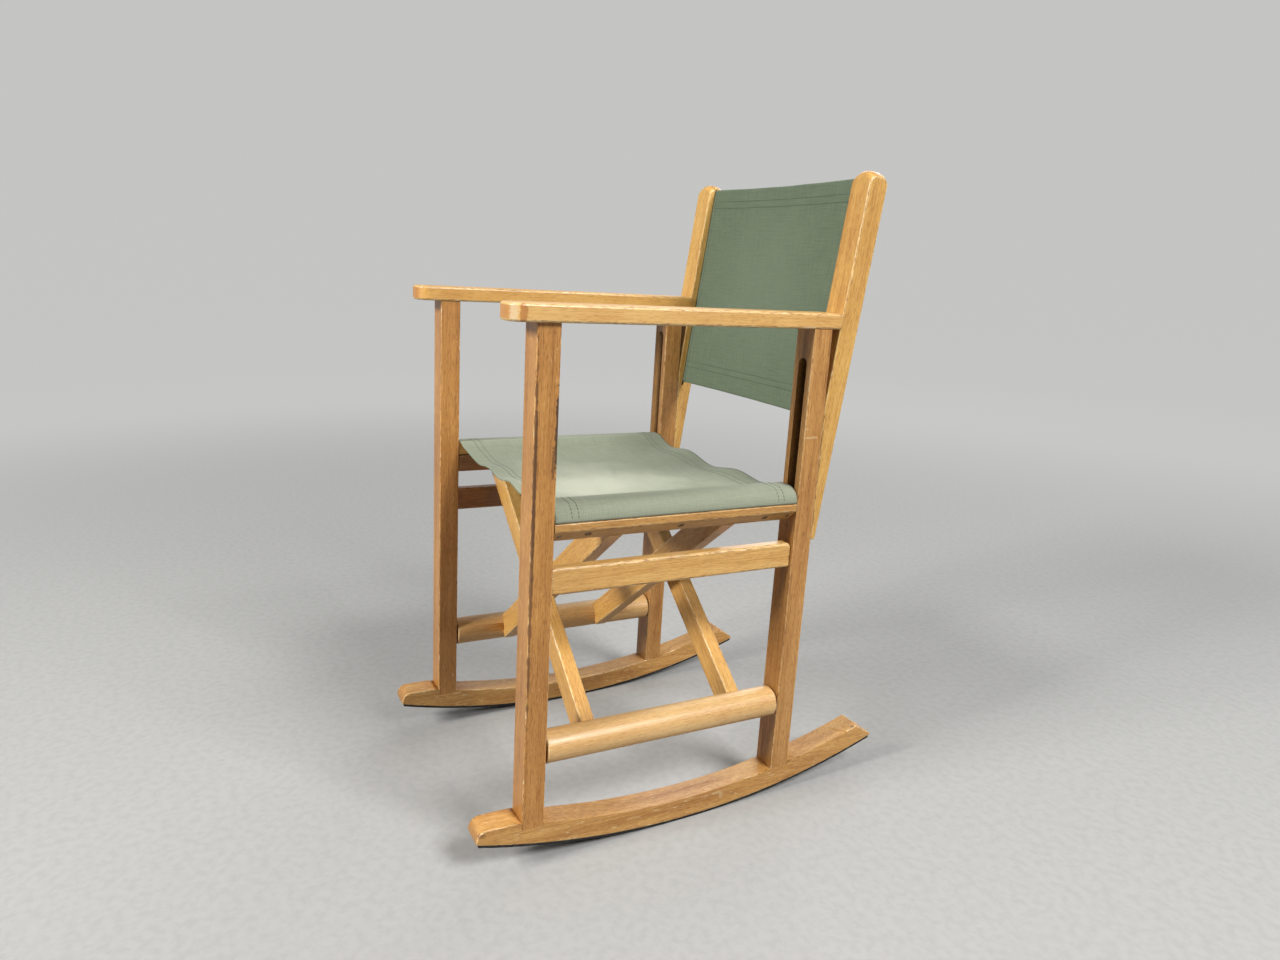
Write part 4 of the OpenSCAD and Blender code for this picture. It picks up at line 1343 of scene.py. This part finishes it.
@dataclass
class BackCanvas:
    """Back: one sheet between the uprights, its side hems round two rods.

    Attributes:
        cloth_t: Thickness of the cloth.
        hem_t: What the folded hem adds to it.
        rod_x: Middle of a rod, across.
        rod_r: Its radius.
        fix_gap: Clearance between the cloth and the rod.
        back_set: The cloth's depth behind the uprights' front faces.
        drop: Its lower edge below the place where the uprights leave the posts.
        height: Its height.
        top_hem: Depth of the upper hem.
        bottom_hem: Depth of the lower hem.
        needles: Distance between a hem's two seams, below and above.
        side_seam: Distance of the side seams from the panel's edges.
        bow: How far the middle bows towards the rear.
        ripple: Height of the faint ripple on it.
        droop: How far the free edges droop between the rods.
        panel: Half the width of the panel between the side hems.
        folded: How far the side frames travel together. Not used.
        rows: Points up the cloth.
        cols: Points across the panel.
        turns: Points round a rod.
    """

    cloth_t: float = 1.2
    hem_t: float = 0.7
    rod_x: float = 126.0
    rod_r: float = 2.5
    fix_gap: float = 0.1
    back_set: float = 8.0
    drop: float = 13.0
    height: float = 217.0
    top_hem: float = 20.0
    bottom_hem: float = 24.5
    needles: tuple[float, float] = (6.0, 7.0)
    side_seam: float = 7.0
    bow: float = 2.5
    ripple: float = 0.35
    droop: float = 1.4
    panel: float = 120.0
    folded: float = 215.97
    rows: int = 100
    cols: int = 110
    turns: int = 30

    def surface(self) -> Cloth:
        """Shapes the cloth.

        Across, it goes round the right-hand rod in a circle, straight over to the
        other rod and round that. The bow towards the rear runs as cos^2 across and
        along a half sine up the cloth, with a sine ripple on it. The droop of the free
        edges runs as 1 - u^2 across, u from 0 in the middle to 1 at the uprights, and
        as the square of the distance from half height.

        Returns:
            The cloth with its seams.
        """
        ring = self.rod_r + self.fix_gap + self.cloth_t / 2
        angle = np.linspace(math.radians(186), math.radians(540), self.turns)
        loop_x, loop_d = self.rod_x + ring * np.cos(angle), ring * np.sin(angle)
        mouth = self.rod_x - ring - 1.2
        across = np.linspace(self.panel, -self.panel, self.cols - 2)
        x = np.concatenate([loop_x, [mouth], across, [-mouth], -loop_x[::-1]])
        side = np.concatenate([loop_d, np.zeros(self.cols), loop_d[::-1]])
        h = np.linspace(0, self.height, self.rows)[:, None]
        share = h / self.height
        u = np.clip(np.abs(x) / FRAME.inner, 0, 1)
        outer = np.abs(2 * share - 1)
        bow = self.bow * np.cos(u * math.pi / 2) ** 2 * (0.35 + 0.65 * np.sin(math.pi * share))
        ripple = np.sin(2 * math.pi * (x / 61 + 0.35 * np.sin(3.1 * share)))
        ripple = self.ripple * (1 - u**4) * ripple * (0.4 + 0.6 * outer)
        depth = self.back_set + side + bow + ripple
        droop = self.droop * (1 - u**2) * outer**2
        height = h - self.drop - np.where(share > 0.5, droop, -0.6 * droop)
        local = np.stack([np.broadcast_to(v, depth.shape) for v in (x, depth, height)], -1)
        upper = self.height - self.top_hem
        hems = 1 - smooth_step(h, self.bottom_hem - 1, self.bottom_hem + 0.6)
        hems = hems + smooth_step(h, upper - 0.6, upper + 1)
        between = 1 - smooth_step(np.abs(x), FRAME.inner - 3, FRAME.inner - 1)
        run = travelled(np.hypot(np.diff(x), np.diff(side)))
        length = np.stack([np.broadcast_to(v, depth.shape) for v in (run - run[-1] / 2, h)], -1)
        cloth = Cloth(FRAME.leaned(local), self.cloth_t + self.hem_t * hems * between, length)
        step = (self.rows - 1) / self.height
        first, last = self.turns + 1.0, len(x) - self.turns - 2.0
        below, above = self.needles
        for level in (self.bottom_hem - below, self.bottom_hem, upper, upper + above):
            cloth.sew((level * step, first), (level * step, last))
        inset = self.side_seam / (across[0] - across[1])
        for col in (self.turns + inset, len(x) - self.turns - 1 - inset):
            cloth.sew((0.0, col), (self.rows - 1.0, col))
        return cloth

    def build(self) -> bpy.types.Object:
        """Makes the back: two hems that ride on their own side frames round their rods, and a
        panel between them that rides on the left side frame.

        Returns:
            The panel.
        """
        fabric = CottonCanvas(
            "sage_cotton_canvas_back", "#707D66", "#7C8873", "#5C6A56",
            pale_oval=0.4, middle=(0.0, 120.0), half=(110.0, 100.0),
        )
        thread = SewingThread("dark_green_back_thread", "#4C5F4E", "#38493B")
        cloth = self.surface()
        count = cloth.middle.shape[1]
        first, last = self.turns + 1, count - self.turns - 1
        panel = cloth.part(first, last)
        panel.seams = cloth.seams
        strips = {"right": cloth.part(0, first + 1), "left": cloth.part(last - 1, count)}
        for side, strip in strips.items():
            hem = strip.build("back_hem_" + side, fabric, thread)
            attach(hem, side + "_side")
            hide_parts("back_canvas")
        piece = panel.build("back_cloth", fabric, thread)
        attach(piece, "left_side")
        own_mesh(piece)
        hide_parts("back_canvas")
        return piece


def dress(nodes: Nodes, finish: Finish, *names: str) -> None:
    """Gives CAD nodes their material.

    Args:
        nodes: The frame's CAD nodes by name.
        finish: What they are made of.
        *names: The nodes to dress.
    """
    for name in names:
        for slot in nodes[name].material_slots:
            slot.material = finish.material()


TURNED = VarnishedBeech("beech_turned_level", Grain.LEVEL, seed=9.0)


@dataclass
class SideFrame:
    """One side of the chair: rocker, posts, arm, board and upright.

    Only the side that the photograph shows, the right one, has particular marks.
    """

    side: str

    def near_marks(self, *marks: Mark) -> tuple[Mark, ...]:
        """These marks on the right side, none on the left."""
        return marks if self.side == "right" else ()

    def groove(self, depth: float) -> Mark:
        """Painted shade, with some grime, inside a post's groove, whose floor is near this depth.
        """
        across = FRAME.middle if self.side == "right" else -FRAME.middle
        # painted shade: a dark band down the middle of the grooved face and inside the groove, with
        # some grime
        return Mark((across, depth, 331.0), (7.0, 8.5, 400.0), "#2E1A0C", 0.85, 0.1, 0.3)

    def front_marks(self) -> tuple[Mark, ...]:
        """Marks of the front posts; the near one has a long split and a chipped arris.

        Returns:
            The painted shade and grime in the post's groove, then the near post's own marks.
        """
        return self.groove(12.0), *self.near_marks(
            Mark((145.5, 1.5, 262.0), (2.0, 1.5, 165.0), "#6B4421", 0.85, 0.8, 0.12),
            Mark((145.5, 2.0, 300.0), (2.0, 1.3, 70.0), "#4E3017", 0.7, 0.9, 0.2),
            Mark((145.5, 19.6, 346.0), (3.0, 2.2, 34.0), "#3A2615", 0.9, 0.7, 0.3),
            Mark((145.5, 17.0, 322.0), (2.0, 1.6, 14.0), "#5A3A1C", 0.7, 0.7, 0.5),
        )

    def rear_marks(self) -> tuple[Mark, ...]:
        """Marks of the rear posts; the near one has two pale scrapes across.

        Returns:
            The painted shade and grime in the post's groove, then the near post's own marks.
        """
        return self.groove(268.0), *self.near_marks(
            Mark((145.5, 268.0, 333.0), (1.0, 8.0, 1.1), "#D3B382", 0.6, 0.7, 0.6),
            Mark((145.5, 262.0, 341.0), (1.0, 3.0, 0.9), "#D3B382", 0.5, 0.7, 0.6),
        )

    def rocker_marks(self) -> tuple[Mark, ...]:
        """Marks of the near rocker: a forked scratch below the rear post, a chipped tail.

        Returns:
            The marks, none for the far rocker.
        """
        return self.near_marks(
            Mark((145.5, 198.0, -11.5), (1.5, 6.0, 1.6), "#DDC092", 0.5, 1.0, 0.7),
            Mark((145.5, 203.0, -15.5), (1.5, 2.6, 3.6), "#DDC092", 0.4, 1.0, 0.7),
            Mark((144.0, 361.0, 26.0), (4.0, 3.0, 2.4), "#54371B", 0.8, 0.8, 0.4),
            Mark((145.5, -36.0, 4.0), (3.0, 4.0, 1.6), "#6B4522", 0.6, 0.8, 0.4),
        )

    def arm_marks(self) -> tuple[Mark, ...]:
        """The near arm's nose: whitish where it was knocked, orange where varnish pooled.

        Returns:
            The marks, none for the far arm.
        """
        return self.near_marks(
            Mark((150.5, -12.5, 437.0), (4.0, 3.2, 9.0), "#AC6C2C", 0.75, 0.5, 0.3),
            Mark((148.0, -19.5, 437.0), (5.0, 3.4, 8.0), "#D8C3A0", 0.6, 0.9, 0.6),
        )

    def timbers(self) -> list[Timber]:
        """The frame's wooden pieces with their finishes.

        Returns:
            The pieces, not yet built.
        """
        side, body = self.side, self.side + "_side"
        seed = 1.0 if side == "right" else 2.0
        # the far board's darker tone is painted shade from under the seat
        arm, board = (Tone.LIGHT, Tone.LIGHT) if side == "right" else (Tone.HONEY, Tone.CHESTNUT_SHADE)
        return [
            Rocker("rocker_" + side, body, VarnishedBeech(
                "beech_rocker_" + side, Grain.LEVEL, Tone.WHEAT.value,
                bare="#EDD6A8", seed=seed + 7, worn=0.13, marks=self.rocker_marks(),
            )),
            Post("front_post_" + side, body, VarnishedBeech(
                "beech_front_post_" + side, Grain.UPRIGHT, Tone.AMBER.value,
                pores=0.5, seed=seed, worn=0.09, marks=self.front_marks(),
            )),
            Post("rear_post_" + side, body, VarnishedBeech(
                "beech_rear_post_" + side, Grain.UPRIGHT, Tone.BROWN.value,
                pores=0.5, seed=seed + 4, worn=0.1, marks=self.rear_marks(),
            )),
            Arm("arm_" + side, body, VarnishedBeech(
                "beech_arm_" + side, Grain.LEVEL, arm.value,
                end="#B27030", pores=0.3, seed=seed, worn=0.08, marks=self.arm_marks(),
            )),
            Stretcher("stretcher_" + side, body, VarnishedBeech(
                "beech_board_" + side, Grain.LEVEL, board.value, seed=seed,
                pores=0.3 if side == "right" else 0.45, worn=0.08 if side == "right" else 0.07,
            )),
            Upright("back_upright_" + side, body, VarnishedBeech(
                "beech_upright_" + side, Grain.BACK, Tone.STRAW.value, seed=seed + 2, worn=0.1,
            )),
        ]

    def build(self, nodes: Nodes) -> list[bpy.types.Object]:
        """Builds the timbers and dresses the frame's small nodes.

        Args:
            nodes: The frame's CAD nodes by name.

        Returns:
            The new pieces.
        """
        made = [timber.build(nodes) for timber in self.timbers()]
        dowels = VarnishedBeech("beech_turned_upright", Grain.UPRIGHT, seed=9.0)
        dress(nodes, dowels, "frame_dowels_" + self.side)
        dress(nodes, TURNED, "stretcher_pegs_" + self.side)
        dress(nodes, SoleRubber(), "sole_" + self.side)
        dress(nodes, PlainMetal(), "upright_screws_" + self.side, "canvas_rod_" + self.side)
        return made


@dataclass
class CrossLegs:
    """Both sets of crossed legs with their rails, bars and fixings."""

    def timbers(self) -> list[Timber]:
        """The legs' and rails' wooden pieces with their finishes.

        Returns:
            The pieces, not yet built.
        """
        rail = VarnishedBeech("beech_rail", Grain.LEVEL, Tone.CREAM.value, pores=0.3, seed=3.0)
        seat = VarnishedBeech("beech_seat_rail", Grain.LEVEL, Tone.TAN.value, seed=5.0, worn=0.1)
        # painted shade: the far seat rail's darker tone stands in for the shade under the seat
        dark = VarnishedBeech(
            "beech_seat_rail_left", Grain.LEVEL, Tone.UMBER_SHADE.value, seed=4.0, worn=0.07
        )
        leg_a = VarnishedBeech("beech_leg_a", Grain.LEG_A, seed=6.0, worn=0.1)
        leg_b = VarnishedBeech("beech_leg_b", Grain.LEG_B, seed=8.0, worn=0.1)
        return [
            LowerRail("lower_rail_left", "legs_a", rail),
            LowerRail("lower_rail_right", "legs_b", rail),
            SeatRail("seat_rail_right", "legs_a", seat),
            SeatRail("seat_rail_left", "legs_b", dark),
            Leg("leg_a_front", "legs_a", leg_a),
            Leg("leg_a_rear", "legs_a", leg_a),
            Leg("leg_b_front", "legs_b", leg_b),
            Leg("leg_b_rear", "legs_b", leg_b),
        ]

    def build(self, nodes: Nodes) -> list[bpy.types.Object]:
        """Builds the timbers and dresses the small nodes.

        Args:
            nodes: The frame's CAD nodes by name.

        Returns:
            The new pieces.
        """
        made = [timber.build(nodes) for timber in self.timbers()]
        for side in ("left", "right"):
            dress(nodes, TURNED, "seat_bar_" + side, "guide_pins_" + side)
            dress(nodes, PlainMetal(), "bar_screws_" + side, "pin_nails_" + side)
        dress(nodes, PlainMetal(), "pivot_bolts", "pivot_washers", "pivot_nuts")
        dress(nodes, TURNED, "pivot_spacer")
        return made


@dataclass(frozen=True)
class PaleFloor(Finish):
    """Fine matt plaster in pale grey.

    To the eye: an even pale ground that fades into the backdrop. It is seen as pale but
    throws only half as much light up at the chair, and further out it glows evenly
    instead, so that no lamp's spot shows on it.
    """

    name: str = "pale_plaster_floor"
    dark: str = "#A5A5A4"
    light: str = "#ABABAA"
    dim: str = "#7C7C7B"

    def paint(self, tree: bpy.types.NodeTree) -> Inputs:
        """Adds the nodes of the plaster and its glow.

        Args:
            tree: The material's tree.

        Returns:
            The shader's inputs by name, with what goes into each.
        """
        here = add(tree, "TexCoord").outputs["Object"]
        # plaster: spots of 8 mm, barely darker than the rest
        spots = add(tree, "TexNoise", {"Vector": here, "Scale": 0.12 / MM, "Detail": 4.0})
        tone = add(tree, "ValToRGB", {"Fac": spots}, stops=((0.35, self.dark), (0.6, self.light)))
        rays = add(tree, "LightPath").outputs
        either = {0: rays["Is Camera Ray"], 1: rays["Is Glossy Ray"]}
        seen = add(tree, "Math", either, operation="MAXIMUM")
        shown = add(tree, "Mix", {"Factor": seen, "A": self.dim, "B": tone}, data_type="RGBA")
        # metres from the chair between which the glow takes over
        far = add(tree, "VectorMath", {0: here}, operation="LENGTH").outputs["Value"]
        band = dict(zip(RANGE, (far, 0.7, 2.4)))
        rise = add(tree, "MapRange", band, interpolation_type="SMOOTHSTEP")
        glow = add(tree, "Math", {0: rise, 1: seen}, operation="MULTIPLY")
        lit = {"Factor": glow, "A": shown, "B": "#000000"}
        return {
            "Base Color": add(tree, "Mix", lit, data_type="RGBA"),
            "Emission Strength": glow,
            "Emission Color": "#C4C4C3",
            "Roughness": 0.95,
            "Specular IOR Level": 0.1,
        }


@dataclass
class Studio:
    """Pale floor, soft lamps, and the camera where the photograph was taken.

    Attributes:
        eye: The camera's place, in upright millimetres.
        pitch: Degrees that it looks down.
        yaw: Degrees that it is turned to the left from straight back.
        roll: Degrees that it is tilted.
        focal_px: Its focal length, in pixels of the photograph.
        picture_px: Width of the photograph, in pixels.
        film: Width of its sensor.
        aim: Where the lamps point, in metres.
        flat: Radius of the floor's level part, in metres.
        reach: Radius of the whole floor, in metres.
    """

    eye: tuple[float, float, float] = (781.8, -246.8, 475.4)
    pitch: float = 13.37
    yaw: float = 61.79
    roll: float = 3.39
    focal_px: float = 897.92
    picture_px: float = 1280.0
    film: float = 36.0
    aim: tuple[float, float, float] = (0.0, 0.0, 0.28)
    flat: float = 3.0
    reach: float = 7.0

    def camera(self) -> None:
        """Places the camera.

        Forward is (-sin yaw cos pitch, cos yaw cos pitch, -sin pitch), right is level
        and both turn by the roll, all in the upright axes that the lean then sets back.
        """
        pitch, yaw, roll = (math.radians(v) for v in (self.pitch, self.yaw, self.roll))
        ahead = math.cos(pitch)
        forward = np.array([-math.sin(yaw) * ahead, math.cos(yaw) * ahead, -math.sin(pitch)])
        right = np.array([math.cos(yaw), math.sin(yaw), 0.0])
        up = np.cross(right, forward)
        across = right * math.cos(roll) + up * math.sin(roll)
        above = up * math.cos(roll) - right * math.sin(roll)
        axes = np.stack([across, above, -forward], 1)
        data = bpy.data.cameras.new("camera")
        data.sensor_width = self.film
        data.lens = self.focal_px / self.picture_px * self.film
        data.clip_start, data.clip_end = 0.05, 60.0
        camera = put("camera", data)
        turned = Matrix((STANCE.matrix() @ axes).tolist()).to_4x4()
        camera.matrix_world = Matrix.Translation(STANCE.place(np.array(self.eye))) @ turned
        bpy.context.scene.camera = camera

    def lamp(
        self, name: str, place: Sequence[float], size: float, power: float, colour: str
    ) -> None:
        """Adds a square area lamp that faces the chair.

        Args:
            name: The lamp's name.
            place: Where it stands, in metres.
            size: Side of the square, in metres.
            power: Watts.
            colour: Hex colour of the light.
        """
        data = bpy.data.lights.new(name, "AREA")
        data.shape, data.size, data.energy = "SQUARE", size, power
        data.color = linear(colour)[:3]
        lamp = put(name, data)
        lamp.location = place
        lamp.rotation_euler = (Vector(self.aim) - Vector(place)).to_track_quat("-Z", "Y").to_euler()

    def floor(self) -> None:
        """Adds a pale floor that curves up into a backdrop all round, so no edge shows.

        Height over the distance r from the chair is 0 on the level part, then half the
        square of what lies beyond it.
        """
        rings = np.linspace(0.0, self.flat, 8), np.linspace(self.flat + 0.2, self.reach, 24)
        radius = np.concatenate(rings)[:, None]
        angle = np.linspace(0, 2 * math.pi, 97)[None, :-1]
        height = np.maximum(0, radius - self.flat) ** 2 * 0.5 + 0 * angle
        grid = np.stack([radius * np.cos(angle), radius * np.sin(angle), height], -1)
        ids = np.arange(height.size).reshape(height.shape)
        nxt = np.roll(ids, -1, axis=1)
        faces = np.stack([ids[:-1], ids[1:], nxt[1:], nxt[:-1]], -1).reshape(-1, 4)
        mesh = bpy.data.meshes.new("floor")
        mesh.from_pydata(grid.reshape(-1, 3), [], faces)
        mesh.polygons.foreach_set("use_smooth", np.ones(len(mesh.polygons), bool))
        mesh.materials.append(PaleFloor().material())
        put("floor", mesh)

    def build(self) -> None:
        """Sets up camera, floor, lamps, world and the plain view transform."""
        self.camera()
        self.floor()
        self.lamp("front", (0.15, -2.6, 1.7), 0.7, 94.0, "#FFFEFB")
        self.lamp("side", (2.1, 0.7, 2.2), 1.0, 94.0, "#FFFEFC")
        self.lamp("top", (-0.6, 0.4, 2.9), 1.8, 5.0, "#FFFFFF")
        self.lamp("rear", (-1.9, 2.3, 1.6), 2.0, 40.0, "#FFFFFF")
        world = bpy.data.worlds.new("studio")
        world.use_nodes = True
        tree = world.node_tree
        plug(tree, tree.nodes["Background"], {"Color": "#EDEEF0", "Strength": 0.18})
        bpy.context.scene.world = world
        bpy.context.scene.view_settings.view_transform = "Standard"


def corners(box: tuple[Vector, Vector]) -> list[list[float]]:
    """A pair of corners as plain numbers."""
    return [list(corner) for corner in box]


def main() -> None:
    """Builds the studio and every dressed piece in order, and logs each piece's face count."""
    logging.basicConfig(level=logging.INFO, format="%(name)s: %(message)s")
    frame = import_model()
    nodes = frame["nodes"]
    Studio().build()
    made: list[bpy.types.Object] = []
    for part in (SideFrame("left"), SideFrame("right"), CrossLegs()):
        made += part.build(nodes)
    for cloth in (SeatCanvas(), BackCanvas()):
        made.append(cloth.build())
    for piece in made:
        LOG.info("%s: %d faces", piece.name, len(piece.data.polygons))


if __name__ == "__main__":
    main()
